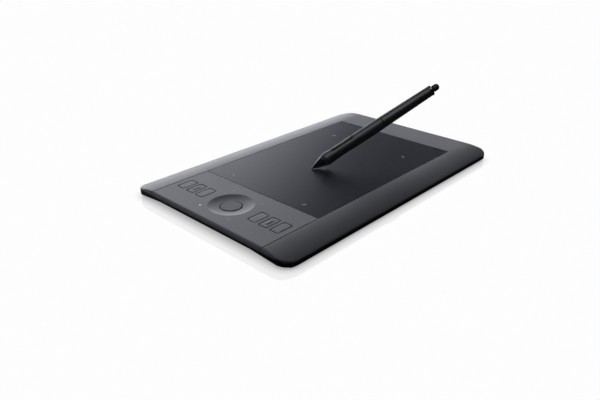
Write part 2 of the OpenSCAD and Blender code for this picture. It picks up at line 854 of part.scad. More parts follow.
// Waisted rubber grip with the rocker's pocket and pin holes
module pen_grip() {
    color([0.06, 0.06, 0.065]) pen_place() difference() {
        rotate_extrude() grip_profile();
        rod(nose_len - 1, grip_end + 1, grip_bore);
        span([0, -rocker_w / 2 - rocker_gap, rocker_at - rocker_len / 2 - rocker_gap],
             [rocker_out, rocker_w / 2 + rocker_gap, rocker_at + rocker_len / 2 + rocker_gap]);
        translate([pin_at, 0, rocker_at]) rotate([90, 0, 0])
            cylinder(pin_len + 2 * press_gap, r = pin_r + press_gap, center = true);
    }
}

// Tapering barrel, its spigot in the grip's rear end
module pen_barrel() {
    color([0.07, 0.07, 0.075]) pen_place() difference() {
        union() {
            translate([0, 0, barrel_start]) cylinder(barrel_end - barrel_start, joint_r, tail_r);
            rod(grip_end - spigot_len, barrel_start + eps, spigot_r);
        }
        rod(grip_end - spigot_len - 1, barrel_start + spigot_len, spigot_bore);
        rod(barrel_start + spigot_len - eps, barrel_end + 1, barrel_bore);
    }
}

// Glossy tail ring with its spigot, step and neck
module pen_tail_ring() {
    color([0.02, 0.02, 0.025]) pen_place() difference() {
        union() {
            rod(barrel_end - tail_spigot, barrel_end + eps, barrel_bore - run_gap);
            rod(barrel_end + 0.2, tail_end - neck_len, tail_r + tail_step);
            rod(barrel_end, tail_end, tail_r - 1);
        }
        rod(barrel_end - tail_spigot - 1, tail_end + 1, shaft_r + run_gap);
    }
}

// Ferrite core round the nib
module pen_coil_core() {
    color([0.2, 0.2, 0.2]) pen_place() rod(coil_at + 0.4, nib_end - 0.8, core_r, core_bore);
}

// Copper winding on the core
module pen_coil_winding() {
    color([0.72, 0.4, 0.2]) pen_place() rod(coil_at + 1.4, nose_len - 0.5, coil_r, wind_r);
}

// Pressure cell behind the nib
module pen_pressure_sensor() {
    color([0.5, 0.5, 0.52]) pen_place() rod(sensor_at, sensor_end, coil_bore - 0.2);
}

// Circuit board along the pen
module pen_board() {
    color([0.1, 0.3, 0.16]) pen_place()
        span([-pcb_t / 2, -pcb_w / 2, sensor_end + 0.2],
             [pcb_t / 2, pcb_w / 2, barrel_end - tail_spigot - 0.4]);
}

// Two push switches under the rocker's ends
module pen_rocker_switches() {
    color([0.7, 0.7, 0.7]) pen_place()
        for (side = [-1, 1])
            translate([pcb_t / 2, -push_w / 2, rocker_at + side * push_at - push_w / 2])
                cube([push_ht, push_w, push_w]);
}

// Pivot pin of the rocker, held in the grip
module pen_rocker_pin() {
    color([0.75, 0.75, 0.76]) pen_place()
        translate([pin_at, 0, rocker_at]) rotate([90, 0, 0]) cylinder(pin_len, r = pin_r, center = true);
}

// Pressure cell behind the eraser
module pen_eraser_sensor() {
    low = barrel_end - tail_spigot + 0.2;
    color([0.5, 0.5, 0.52]) pen_place()
        rod(low, eraser_shoulder - shaft_len - eraser_travel - 0.1, shaft_r - 0.2);
}

// Nib with its rounded point
module pen_nib() {
    color([0.12, 0.12, 0.13]) pen_place() {
        translate([0, 0, nib_r]) sphere(nib_r);
        rod(nib_r, nib_end, nib_r);
    }
}

// Half-section round the rocker: follows the grip's waist, standing out of it
module rocker_profile() {
    low = rocker_at - rocker_len / 2 - 1;
    high = rocker_at + rocker_len / 2 + 1;
    waist = waist_r + rocker_proud;
    polygon([
        [0, low],
        [waist + (waist_at - low) * (waist_at - low) / (2 * flare_r), low],
        [waist, waist_at],
        [waist + (grip_r - waist_r) * (high - waist_at) / (belly_at - waist_at), high],
        [0, high]
    ]);
}

// Side rocker: dips over its pivot
module pen_rocker() {
    dip_r = 4;
    dip_low = 0.2;
    color([0.05, 0.05, 0.055]) pen_place() difference() {
        intersection() {
            rotate_extrude() rocker_profile();
            span([rocker_low, -rocker_w / 2, rocker_at - rocker_len / 2],
                 [rocker_out, rocker_w / 2, rocker_at + rocker_len / 2]);
        }
        translate([waist_r + dip_low + dip_r, 0, rocker_at]) rotate([90, 0, 0])
            cylinder(rocker_w + 2, r = dip_r, center = true);
        translate([pin_at, 0, rocker_at]) rotate([90, 0, 0])
            cylinder(rocker_w + 2, r = pin_r + run_gap, center = true);
    }
}

// Eraser on its shaft
module pen_eraser() {
    color([0.03, 0.03, 0.03]) pen_place() {
        rod(eraser_shoulder - shaft_len, eraser_shoulder + eps, shaft_r);
        rod(eraser_shoulder, pen_len - eraser_r, eraser_r);
        translate([0, 0, pen_len - eraser_r]) sphere(eraser_r);
    }
}

top_cover();
control_panel();
drawing_sheet();
bottom_case();
feet();
case_screws();
sensor_board();
shield_plate();
control_board();
key_switches();
board_screws();
ring_sensor();
ring_light_pipes();
ring_light_chips();
main_board();
usb_socket();
power_switch();
battery_pack();
wireless_module();
key_1();
key_2();
key_3();
key_4();
key_5();
key_6();
ring_button();
power_button();
bay_cover();
pen_nose();
pen_grip();
pen_barrel();
pen_tail_ring();
pen_coil_core();
pen_coil_winding();
pen_pressure_sensor();
pen_board();
pen_rocker_switches();
pen_rocker_pin();
pen_eraser_sensor();
pen_nib();
pen_rocker();
pen_eraser();
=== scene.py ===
"""Pen drawing tablet with a control strip and a cordless pen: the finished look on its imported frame."""
import json
from math import radians

import bmesh
import bpy
import numpy as np
from mathutils import Matrix, Vector


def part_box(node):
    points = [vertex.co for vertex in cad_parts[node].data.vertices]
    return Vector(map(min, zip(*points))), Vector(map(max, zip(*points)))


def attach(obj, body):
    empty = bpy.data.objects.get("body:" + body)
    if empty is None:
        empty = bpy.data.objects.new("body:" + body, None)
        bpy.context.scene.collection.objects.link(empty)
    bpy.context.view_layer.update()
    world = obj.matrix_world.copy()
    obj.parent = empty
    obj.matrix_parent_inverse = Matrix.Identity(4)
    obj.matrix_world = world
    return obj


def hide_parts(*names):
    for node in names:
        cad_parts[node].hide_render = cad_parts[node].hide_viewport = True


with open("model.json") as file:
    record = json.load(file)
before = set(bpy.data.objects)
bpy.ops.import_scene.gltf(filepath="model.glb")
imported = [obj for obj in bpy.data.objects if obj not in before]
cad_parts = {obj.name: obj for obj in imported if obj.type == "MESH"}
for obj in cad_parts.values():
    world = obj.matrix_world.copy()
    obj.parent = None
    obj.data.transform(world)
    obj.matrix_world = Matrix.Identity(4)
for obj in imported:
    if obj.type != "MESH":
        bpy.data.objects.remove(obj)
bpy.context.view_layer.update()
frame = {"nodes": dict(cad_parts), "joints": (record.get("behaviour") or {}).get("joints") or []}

# Bottom case: the black tray that carries everything, injection moulded in ABS in a spark-eroded
# mould. Its band shows below the bezels, and its underside has the foot pockets and screw wells.
MM = 0.001
CASE_BLACK = "#0c0c0e"
CASE_EDGE = 0.2
CLOUD = 40.0
NOISE_LOW, NOISE_HIGH = 0.3, 0.7
SHARP = radians(32)


def linear(code):
    """An sRGB hex colour as linear RGBA: ((c + 0.055) / 1.055) to the power 2.4, or c / 12.92 near black."""
    c = np.array([int(code[k : k + 2], 16) for k in (1, 3, 5)]) / 255
    return (*np.where(c > 0.04045, ((c + 0.055) / 1.055) ** 2.4, c / 12.92), 1.0)


def add(tree, kind, *feeds, **settings):
    """Adds one node. settings are its properties, feeds are pairs of an input and its value or source."""
    node = tree.nodes.new(kind)
    for name, value in settings.items():
        setattr(node, name, value)
    for socket, value in feeds:
        if isinstance(value, bpy.types.NodeSocket):
            tree.links.new(value, node.inputs[socket])
        else:
            node.inputs[socket].default_value = value
    return node


def new_material(name, *feeds):
    """A material with one Principled shader, fed as given. Returns it, its tree, its shader and its Object
    coordinates."""
    material = bpy.data.materials.new(name)
    material.use_nodes = True
    tree = material.node_tree
    tree.nodes.clear()
    shader = add(tree, "ShaderNodeBsdfPrincipled", *feeds)
    add(tree, "ShaderNodeOutputMaterial", ("Surface", shader.outputs[0]))
    place = add(tree, "ShaderNodeTexCoord").outputs["Object"]
    return material, tree, shader, place


def grained(name, colour, rough, grain, depth, *feeds, spread=0.05, drift=0.06):
    """Moulded or cast finish. The colour drifts a little in clouds of a few centimetres, as a melt sets
    unevenly, and a grain of the given width and depth in mm breaks the gloss and varies the roughness."""
    material, tree, shader, place = new_material(name, *feeds)
    cloud = add(tree, "ShaderNodeTexNoise", ("Vector", place), ("Scale", 1 / (CLOUD * MM)), ("Detail", 2.0))
    base = np.array(linear(colour))
    tint = add(
        tree, "ShaderNodeMixRGB", ("Fac", cloud.outputs["Fac"]),
        ("Color1", base * (1 - drift, 1 - drift, 1 - drift, 1)),
        ("Color2", base * (1 + drift, 1 + drift, 1 + drift, 1)),
    )
    noise = add(tree, "ShaderNodeTexNoise", ("Vector", place), ("Scale", 1 / (grain * MM)), ("Detail", 3.0))
    gloss = add(
        tree, "ShaderNodeMapRange", ("Value", noise.outputs["Fac"]), ("From Min", NOISE_LOW),
        ("From Max", NOISE_HIGH), ("To Min", rough - spread), ("To Max", rough + spread),
    )
    bump = add(
        tree, "ShaderNodeBump", ("Height", noise.outputs["Fac"]), ("Strength", 1.0), ("Distance", depth * MM),
    )
    tree.links.new(tint.outputs["Color"], shader.inputs["Base Color"])
    tree.links.new(gloss.outputs["Result"], shader.inputs["Roughness"])
    tree.links.new(bump.outputs["Normal"], shader.inputs["Normal"])
    return material


def show(name, mesh, material, body, slot, *nodes):
    """Puts a finished mesh into the scene at the origin, on its body, in place of the CAD nodes that it
    stands for."""
    mesh.polygons.foreach_set("use_smooth", np.ones(len(mesh.polygons), bool))
    mesh.set_sharp_from_angle(angle=SHARP)
    mesh.materials.append(material)
    piece = bpy.data.objects.new(name, mesh)
    bpy.context.scene.collection.objects.link(piece)
    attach(piece, body)
    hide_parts(*nodes)
    return piece


def merged(node, name):
    """A CAD node's triangles as one shell: doubles merged, and triangles of one flat face joined."""
    shell = bmesh.new()
    shell.from_mesh(frame["nodes"][node].data)
    bmesh.ops.remove_doubles(shell, verts=shell.verts, dist=0.001 * MM)
    bmesh.ops.dissolve_limit(shell, angle_limit=radians(0.2), verts=shell.verts, edges=shell.edges)
    mesh = bpy.data.meshes.new(name)
    shell.to_mesh(mesh)
    shell.free()
    return mesh


def round_edges(piece, width):
    """Rounds a piece's sharp edges by a width in mm, as a mould or a press leaves them."""
    bevel = piece.modifiers.new("round_edges", "BEVEL")
    bevel.width = width * MM
    bevel.segments = 2
    bevel.limit_method = "ANGLE"
    bevel.angle_limit = SHARP
    bevel.harden_normals = True


# Black ABS: deep and even, and the eroded grain leaves it little more than a dull sheen. The real grain
# is about 0.1 mm wide, drawn here at 0.4 mm so that it shows.
black_abs = grained("spark_eroded_black_abs", CASE_BLACK, 0.55, 0.4, 0.012, ("Specular IOR Level", 0.2))
case = show(
    "case_moulding", merged("bottom_case", "case_moulding"), black_abs, "tablet", "case_plastic",
    "bottom_case",
)
round_edges(case, CASE_EDGE)

# Feet: six bars of black rubber with round ends, pressed into pockets of the case. Moulded rubber
# has no gloss, and its edges are soft.
FOOT_EDGE = 0.35
foot_rubber = grained("moulded_rubber", "#1b1b1b", 0.85, 0.5, 0.02)
feet = show("rubber_feet", merged("feet", "rubber_feet"), foot_rubber, "tablet", "foot_rubber", "feet")
round_edges(feet, FOOT_EDGE)

# Case screws: cross-head screws driven from below into the cover's bezels, steel with a black oxide
# finish that lets a little of the metal through.
SCREW_EDGE = 0.12
SCUFF = 0.6
black_oxide, tree, shader, place = new_material("black_oxide_steel", ("Metallic", 1.0), ("Roughness", 0.42))
scuffs = add(tree, "ShaderNodeTexNoise", ("Vector", place), ("Scale", 1 / (SCUFF * MM)), ("Detail", 4.0))
worn = add(
    tree, "ShaderNodeMixRGB", ("Fac", scuffs.outputs["Fac"]),
    ("Color1", linear("#2a2a2c")), ("Color2", linear("#58585c")),
)
tree.links.new(worn.outputs["Color"], shader.inputs["Base Color"])
screws = show(
    "case_screw_set", merged("case_screws", "case_screw_set"), black_oxide, "tablet", "screw_steel",
    "case_screws",
)
round_edges(screws, SCREW_EDGE)

# Bay cover: a sliding door of the same black ABS, flush with the underside and the back edge, with
# three finger grooves. Its tongues run in the rails of the case.
bay_cover = show(
    "bay_cover_moulding", merged("bay_cover", "bay_cover_moulding"), black_abs, "bay_cover", "case_plastic",
    "bay_cover",
)
round_edges(bay_cover, CASE_EDGE)


def dress(material, *nodes):
    """Gives CAD nodes that stay as they are a finish."""
    for node in nodes:
        for slot in frame["nodes"][node].material_slots:
            slot.material = material


# Battery pack and radio module in the bay: a flat cell in shrink wrap, glossy and a little wrinkled,
# and a small plastic box beside it.
dress(grained("shrink_wrap", "#26282d", 0.25, 3.0, 0.05), "battery_pack")
dress(grained("module_abs", "#141416", 0.4, 0.4, 0.01), "wireless_module")

# Circuit boards: glass-fibre laminate under green solder resist, which is glossy and shows the copper
# runs as lighter lines. The sensor board lies under the sheet's tray, the others under the keys and
# behind the service recess.
RUN_SPACING = 8.0
laminate, tree, shader, place = new_material(
    "solder_resist_on_laminate", ("Roughness", 0.3), ("Coat Weight", 0.4),
)
runs = add(
    tree, "ShaderNodeTexBrick", ("Vector", place), ("Scale", 1 / (RUN_SPACING * MM)), ("Mortar Size", 0.05),
    ("Color1", linear("#0d3a1f")), ("Color2", linear("#114526")), ("Mortar", linear("#2a6a3c")),
)
tree.links.new(runs.outputs["Color"], shader.inputs["Base Color"])
dress(laminate, "sensor_board", "control_board", "main_board", "pen_board")


def worked_metal(name, colour, rough, width, spread=0.08):
    """Bare worked metal: its roughness varies in patches of the given width in mm, as rolling, plating or
    a press leaves it."""
    material, tree, shader, place = new_material(name, ("Metallic", 1.0), ("Base Color", linear(colour)))
    patches = add(tree, "ShaderNodeTexNoise", ("Vector", place), ("Scale", 1 / (width * MM)), ("Detail", 3.0))
    gloss = add(
        tree, "ShaderNodeMapRange", ("Value", patches.outputs["Fac"]), ("From Min", NOISE_LOW),
        ("From Max", NOISE_HIGH), ("To Min", rough - spread), ("To Max", rough + spread),
    )
    tree.links.new(gloss.outputs["Result"], shader.inputs["Roughness"])
    return material


# Small parts on the boards: the shield is rolled tinplate, the domes are stamped stainless steel, the screws
# are zinc plated and the touch electrode is bare copper, all with a patchy shine. The light chips show their
# pale phosphor, and the power switch is dull grey nylon.
dress(worked_metal("rolled_tinplate", "#c4c5c6", 0.35, 6.0), "shield_plate")
dress(worked_metal("stamped_stainless", "#cfcdc8", 0.25, 1.0), "key_switches", "pen_rocker_switches")
dress(worked_metal("zinc_plate", "#b9bcc0", 0.3, 0.6), "board_screws", "pen_rocker_pin")
dress(worked_metal("electrode_copper", "#c77b4a", 0.3, 2.0), "ring_sensor")
dress(grained("light_chip_phosphor", "#e9dfb0", 0.5, 0.3, 0.01), "ring_light_chips")
dress(grained("switch_nylon", "#3c3c3f", 0.5, 0.3, 0.01), "power_switch")

# USB socket: a folded shell of steel, soldered to the main board, whose mouth shows in the wall of the
# service recess. Nickel plate makes it bright, with a slightly warm cast.
SOCKET_EDGE = 0.12
nickel = worked_metal("nickel_plate", "#c9c7c2", 0.22, 1.2)
socket = show(
    "usb_socket_shell", merged("usb_socket", "usb_socket_shell"), nickel, "tablet", "socket_steel",
    "usb_socket",
)
round_edges(socket, SOCKET_EDGE)


def span(node):
    """A CAD node's lowest and highest corners in mm."""
    low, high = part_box(node)
    return np.array(low) / MM, np.array(high) / MM


def grid_quads(rows, cols):
    """Corner numbers of a grid's quads, row by row, with the last column joined to the first."""
    first = np.arange(rows * cols).reshape(rows, cols)
    right = np.roll(first, -1, axis=1)
    return np.stack([first[:-1], right[:-1], right[1:], first[1:]], axis=-1).reshape(-1, 4)


def surface(name, *parts):
    """One mesh from parts, each of points in mm and quads. Points that fall together become one, and a
    quad with a side of no length becomes a triangle."""
    counts = np.cumsum([0] + [len(points) for points, _ in parts])
    points = np.concatenate([points for points, _ in parts])
    quads = np.concatenate([quads + start for (_, quads), start in zip(parts, counts)])
    _, first, same = np.unique(np.round(points, 4), axis=0, return_index=True, return_inverse=True)
    quads = same.reshape(-1)[quads]
    used, quads = np.unique(quads, return_inverse=True)
    points, quads = points[first][used], quads.reshape(-1, 4)
    apart = quads != np.roll(quads, 1, axis=1)
    sides = apart.sum(axis=1)
    faces = quads[sides == 4].tolist()
    faces += quads[sides == 3][apart[sides == 3]].reshape(-1, 3).tolist()
    mesh = bpy.data.meshes.new(name)
    mesh.from_pydata((points * MM).tolist(), [], faces)
    mesh.update()
    return mesh


def loft(loops):
    """A skin over closed loops of equally many points. Loops that run counterclockwise and climb give faces
    that point outwards."""
    loops = np.asarray(loops, float)
    return loops.reshape(-1, 3), grid_quads(*loops.shape[:2])


def soft_path(corners, steps=6):
    """A profile through corners given as (radius, height, softness): each corner becomes a parabola that
    starts and ends its softness in mm from the corner."""
    corners = np.asarray(corners, float)
    places, soft = corners[:, :2], corners[:, 2:]
    path = [places[:1]]
    u = np.linspace(0, 1, steps)[:, None]
    for before, at, after, reach in zip(places, places[1:], places[2:], soft[1:]):
        start = at + (before - at) * reach / np.linalg.norm(before - at)
        end = at + (after - at) * reach / np.linalg.norm(after - at)
        path.append((1 - u) ** 2 * start + 2 * u * (1 - u) * at + u**2 * end)
    return np.concatenate(path + [places[-1:]])


def turned(profile, sides=64):
    """A profile of (radius, height) turned round the height axis: x = r cos a, y = r sin a."""
    a = np.linspace(0, 2 * np.pi, sides, endpoint=False)
    r, z = np.asarray(profile, float).T[:, :, None]
    return np.stack([r * np.cos(a), r * np.sin(a), z + 0 * a], axis=-1)


# Power button: a round ABS pin with a softly domed end, in the service recess beside the socket, moulded with
# the case's finish. It runs in a hole of the case wall and has a flange behind it.
FLANGE_STEP, FLANGE_T = 0.5, 1.5
DOME = 0.1
button_low, button_high = span("power_button")
button_mid = (button_low + button_high) / 2
flange_r = (button_high[1] - button_low[1]) / 2
pin_r = flange_r - FLANGE_STEP
pin_len = button_high[0] - button_low[0]
pin = turned(
    soft_path([
        (0, 0, 0), (flange_r, 0, 0.2), (flange_r, FLANGE_T, 0.2), (pin_r, FLANGE_T, 0.1),
        (pin_r, pin_len - DOME, 0.4), (0, pin_len, 0),
    ]),
    32,
)
pin = np.roll(pin, 1, axis=-1) + (button_low[0], *button_mid[1:])
show(
    "power_button_pin", surface("power_button_pin", loft(pin)), black_abs, "power_button", "case_plastic",
    "power_button",
)

# Top cover: one ABS moulding with the arched front and back bezels and the right bezel, in charcoal,
# fixed by screws from below. Its edge round the sheet and the panel is left a little soft by the mould.
COVER_GREY = "#5f6166"
SEAM, SEAM_EASE = 0.25, 0.24
CORNER_R = 14
END_R = 3
LIP_DROP, LIP_RUN = 3.7, 3
BEZEL_WIDE = 28
BEZEL_EDGE = 0.4
BEZEL_CREASE = radians(2)
RIM_EDGE = 0.35
RECESS_X, RECESS_LOW, RECESS_HIGH, RECESS_TOP = 148.3, 40.8, 72.2, 7.6
HAIR = 0.004
SOFT = 0.12
cover_low, cover_high = span("top_cover")
sheet_low, sheet_high = span("drawing_sheet")
half_len, half_dep, top_z = cover_high
split_z = cover_low[2]
flat_half = sheet_high[1] + SEAM
sheet_edge = sheet_high[0] + SEAM
lip_z = top_z - LIP_DROP
lip_slope = (lip_z - split_z) / LIP_RUN
bezel_run = half_dep - flat_half
bezel_end = 2 * np.arctan((top_z - split_z - BEZEL_EDGE) / bezel_run) - BEZEL_CREASE
bezel_r = bezel_run / (np.sin(bezel_end) - np.sin(BEZEL_CREASE))


def plate(x, y, top, low, solid, filled=None):
    """A plate over a grid of places: its top and its underside are heights, with upright walls round the
    solid cells. Cells marked filled get no faces, and no walls stand against them."""
    count = x.size
    at = np.arange(count).reshape(x.shape)
    points = np.concatenate([np.stack([v.ravel() for v in (x, y, z)], axis=-1) for z in (top, low)])
    ring = [at[:-1, :-1], at[1:, :-1], at[1:, 1:], at[:-1, 1:]]
    closed = np.pad(solid if filled is None else solid | filled, 1)
    beside = [closed[1:-1, :-2], closed[2:, 1:-1], closed[1:-1, 2:], closed[:-2, 1:-1]]
    faces = [
        np.stack([c[solid] for c in ring], axis=-1),
        np.stack([c[solid] + count for c in ring[::-1]], axis=-1),
    ]
    for a, b, joined in zip(ring, ring[1:] + ring[:1], beside):
        wall = solid & ~joined
        faces.append(np.stack([a[wall], a[wall] + count, b[wall] + count, b[wall]], axis=-1))
    return points, np.concatenate(faces)


def edge_fall(distance, radius):
    """How far a round edge lies below its face at a distance in from its side: r - sqrt(r^2 - (r - d)^2)."""
    inside = radius - np.clip(distance, 0, radius)
    return radius - np.sqrt(radius**2 - inside**2)


def top_fall(x, y):
    """Fall of the outer form below the flat top: across, an arc that leaves the seam at the crease's angle,
    and at the ends a round edge. The two add as cubes, so that they blend at the corners."""
    past = np.clip(np.abs(y) - flat_half, 0, None) + bezel_r * np.sin(BEZEL_CREASE)
    arch = bezel_r * np.cos(BEZEL_CREASE) - np.sqrt(bezel_r**2 - past**2)
    arch = np.where(np.abs(y) > flat_half, arch, 0)
    return np.cbrt(arch**3 + edge_fall(half_len - np.abs(x), END_R) ** 3)


def end_low(x, level):
    """Underside of a piece at an end: level inside, climbing to the lip at the end."""
    return np.maximum(level, lip_z - lip_slope * (half_len - np.abs(x)))


# Places across a soft edge, closer together where it turns, and on both sides of an upright step.
soft_edge = np.array([0, 0.015, 0.04, 0.08, 0.12, 0.2, 0.4])
step = np.array([-HAIR, HAIR])
turn = np.linspace(0, np.pi / 2, 25)
corner_x = half_len - CORNER_R + CORNER_R * np.sin(turn)
cols = np.sort(np.concatenate([
    -corner_x, np.linspace(-140, 110, 26), [sheet_edge - 0.5], sheet_edge + SEAM_EASE + soft_edge,
    [sheet_edge + 8, sheet_edge + 16], RECESS_X + step, corner_x,
]))
corner_past = np.clip(np.abs(cols) - (half_len - CORNER_R), 0, CORNER_R)
outline_y = half_dep - CORNER_R + np.sqrt(CORNER_R**2 - corner_past**2)
cover_half = flat_half + SEAM_EASE
inner_rows = np.sort(np.concatenate([
    np.linspace(-cover_half, cover_half, 17), RECESS_LOW + step, RECESS_HIGH + step,
]))
rim = BEZEL_WIDE - np.array([RIM_EDGE, 0.2, 0.1, 0.04, 0])
shares = np.concatenate([soft_edge, np.linspace(1, 26, 22), rim]) / BEZEL_WIDE
bezel_rows = cover_half + shares * (outline_y[:, None] - cover_half)
y = np.concatenate([-bezel_rows[:, ::-1], np.tile(inner_rows[1:-1], (len(cols), 1)), bezel_rows], axis=1)
x = np.broadcast_to(cols[:, None], y.shape)
from_seam = np.hypot(
    np.clip(x - sheet_edge - SEAM_EASE, 0, None), np.clip(np.abs(y) - cover_half, 0, None),
)
corner_out = np.hypot(
    np.clip(np.abs(x) - half_len + CORNER_R, 0, None), np.clip(np.abs(y) - half_dep + CORNER_R, 0, None),
)
from_outline = CORNER_R - corner_out
cover_top = top_z - top_fall(x, y) - edge_fall(from_seam, SOFT)
cover_top -= np.where(np.abs(y) > half_dep - CORNER_R, edge_fall(from_outline, RIM_EDGE), 0)
in_recess = (x > RECESS_X) & (y > RECESS_LOW) & (y < RECESS_HIGH)
cover_under = np.where(in_recess, RECESS_TOP, end_low(x, split_z))
mid_x = (x[:-1, :-1] + x[1:, 1:]) / 2
mid_y = (y[:-1, :-1] + y[1:, 1:]) / 2
solid = (mid_x > sheet_edge + SEAM_EASE) | (np.abs(mid_y) > cover_half)

# Charcoal ABS: mid grey with a cool cast, and a fine eroded grain that takes the shine down to a broad,
# soft sheen, while its moulded skin brightens where it is seen at a flat angle. The real grain is about
# 0.1 mm wide, drawn here at 0.35 mm so that it shows.
charcoal_abs = grained(
    "spark_eroded_charcoal_abs", COVER_GREY, 0.5, 0.35, 0.008, ("Specular IOR Level", 0.18),
    ("Coat Weight", 0.16), ("Coat Roughness", 0.24),
)
cover_mesh = surface("top_cover_moulding", plate(x, y, cover_top, cover_under, solid))
show("top_cover_moulding", cover_mesh, charcoal_abs, "tablet", "cover_plastic", "top_cover")

# Control panel: an ABS moulding let in flush at the left end and wrapped over its edge. Windows take the
# six keys, and the touch ring is a shallow dish with a soft rim and a hole for its button.
KEYS = ["key_1", "key_2", "key_3", "key_4", "key_5", "key_6"]
KEY_FLANGE = 1.1
KEY_GAP, WINDOW_EASE = 0.3, 0.27
KEY_CORNER = 1.6
TOUCH_R = 21.2
DISH_DEPTH = 1.75
DISH_SLOPE = radians(3)
RIM_WIDTH = 0.9
PANEL_T = 3.4
END_WALL = 5
CELL_HALF = 25
SHEET_EASE = 0.06
panel_high = span("control_panel")[1]
ring_low, ring_high = span("ring_button")
control_x = (ring_low[0] + ring_high[0]) / 2
ring_button_r = (ring_high[0] - ring_low[0]) / 2 - KEY_FLANGE
panel_skin = top_z - PANEL_T
key_spans = [span(node) for node in KEYS]
key_mids = [(low + high) / 2 for low, high in key_spans]
key_half = (key_spans[0][1] - key_spans[0][0])[:2] / 2 - KEY_FLANGE
pitch = key_mids[0][1] - key_mids[1][1]
ring_reach = key_mids[2][1] - pitch / 2


def rectangle_loop(across, along):
    """Points round a rectangle, counterclockwise from its low corner, at given places on its sides."""
    low_x, high_x, low_y, high_y = across[0], across[-1], along[0], along[-1]
    sides = [
        np.stack([across[:-1], 0 * across[:-1] + low_y], axis=-1),
        np.stack([0 * along[:-1] + high_x, along[:-1]], axis=-1),
        np.stack([across[:0:-1], 0 * across[:0:-1] + high_y], axis=-1),
        np.stack([0 * along[:0:-1] + low_x, along[:0:-1]], axis=-1),
    ]
    return np.concatenate(sides)


def round_loop(count_x, count_y, half_x, half_y, corner, arc=0.3):
    """Rounded rectangle with a point for each of rectangle_loop's. A side runs from the middle of one
    corner's arc to the middle of the next, and spends a share of its points, arc, on either half arc. A
    circle has corners as wide as the whole and a share of a half."""
    sides = []
    for k in range(4):
        count, along, out = (count_x, half_x, half_y) if k % 2 == 0 else (count_y, half_y, half_x)
        s = np.linspace(0, 1, count)[:-1]
        angle = np.pi / 4 * (np.clip(s / arc, 0, 1) - 1 + np.clip((s - 1 + arc) / arc, 0, 1))
        walk = np.clip((s - arc) / max(1 - 2 * arc, 1e-9), 0, 1)
        u = (2 * walk - 1) * (along - corner) + corner * np.sin(angle)
        v = -(out - corner) - corner * np.cos(angle)
        sides.append(np.stack([(u, v), (-v, u), (-u, -v), (v, -u)][k], axis=-1))
    return np.concatenate(sides)


def lift(loop, z):
    """A flat loop set at a height, or at a height for each point."""
    return np.concatenate([loop, np.broadcast_to(z, (len(loop), 1))], axis=-1)


panel_right = panel_high[0] - SHEET_EASE
panel_half = panel_high[1] - SEAM_EASE
end_wall_x = -half_len + END_WALL
across = control_x + np.linspace(-CELL_HALF, CELL_HALF, 33)
key_steps = np.linspace(-pitch / 2, pitch / 2, 15)
ring_steps = np.linspace(-ring_reach, ring_reach, 33)
end_x = -half_len + END_R * (1 - np.cos(np.linspace(0, np.pi / 2, 14)))
cols = np.concatenate([end_x, end_wall_x + step, across, panel_right - soft_edge])
rows = np.concatenate([
    ring_steps, panel_half - soft_edge, soft_edge - panel_half, *[mid[1] + key_steps for mid in key_mids],
])
cols = np.unique(np.round(cols, 5))
rows = np.unique(np.round(rows, 5))
x, y = np.meshgrid(cols, rows, indexing="ij")
panel_top = top_z - top_fall(x, y) - edge_fall(np.minimum(panel_right - x, panel_half - np.abs(y)), SOFT)
panel_under = np.where(x < end_wall_x, end_low(x, split_z), panel_skin)
mid_x = (x[:-1, :-1] + x[1:, 1:]) / 2
mid_y = (y[:-1, :-1] + y[1:, 1:]) / 2
filled = (np.abs(mid_x - control_x) < CELL_HALF) & (np.abs(mid_y) < key_mids[0][1] + pitch / 2)
panel_parts = [plate(x, y, panel_top, panel_under, ~filled, filled)]


def window_skin(loops, frame_loop):
    """Skin of the panel round a window: along the underside to the window, up its wall and out to the
    frame."""
    return loft([lift(frame_loop, panel_skin), lift(loops[0][0], panel_skin)]
                + [lift(loop, z) for loop, z in loops] + [lift(frame_loop, top_z)])


# A window's edge as pairs: how far out from the wall, and how far below the top.
window_edge = np.array([[0, 0.12], [0.02, 0.05], [0.06, 0.015], [0.12, 0], [0.4, 0]])
for mid in key_mids:
    loops = []
    for out, down in window_edge + (KEY_GAP + WINDOW_EASE, 0):
        loop = round_loop(len(across), len(key_steps), *(key_half + out), KEY_CORNER + out)
        loops.append((loop + mid[:2], top_z - down))
    panel_parts.append(window_skin(loops, rectangle_loop(across, mid[1] + key_steps)))

hole_r = ring_button_r + KEY_GAP
dish_run = TOUCH_R - hole_r
dish_r = dish_run / (np.sin(2 * np.arctan(DISH_DEPTH / dish_run) - DISH_SLOPE) - np.sin(DISH_SLOPE))
rim_in, rim_out = TOUCH_R - RIM_WIDTH / 2, TOUCH_R + RIM_WIDTH / 2


def dish_z(r):
    """Height of the dish at a radius: an arc that leaves the button's edge at a small slope and climbs to the
    rim, where a parabola brings its slope back to nothing."""
    along = np.clip(r, hole_r, rim_in) - hole_r + dish_r * np.sin(DISH_SLOPE)
    arc = top_z - DISH_DEPTH + dish_r * np.cos(DISH_SLOPE) - np.sqrt(dish_r**2 - along**2)
    slope = along / np.sqrt(dish_r**2 - along**2)
    rim = top_z - slope * (rim_out - np.clip(r, rim_in, rim_out)) ** 2 / (2 * RIM_WIDTH)
    return np.where(r < rim_in, arc, rim)


circle = round_loop(len(across), len(ring_steps), 1, 1, 1, arc=0.5)
radii = hole_r + WINDOW_EASE + window_edge[:, 0]
loops = [(circle * r + (control_x, 0), dish_z(r) - down) for r, down in zip(radii, window_edge[:, 1])]
radii = np.concatenate([
    np.linspace(hole_r + 1, rim_in, 12), np.linspace(rim_in, rim_out, 9)[1:], [TOUCH_R + 1],
])
loops += [(circle * r + (control_x, 0), dish_z(r)) for r in radii]
panel_parts.append(window_skin(loops, rectangle_loop(across, ring_steps)))
show(
    "control_panel_moulding", surface("control_panel_moulding", *panel_parts), charcoal_abs, "tablet",
    "panel_plastic", "control_panel",
)

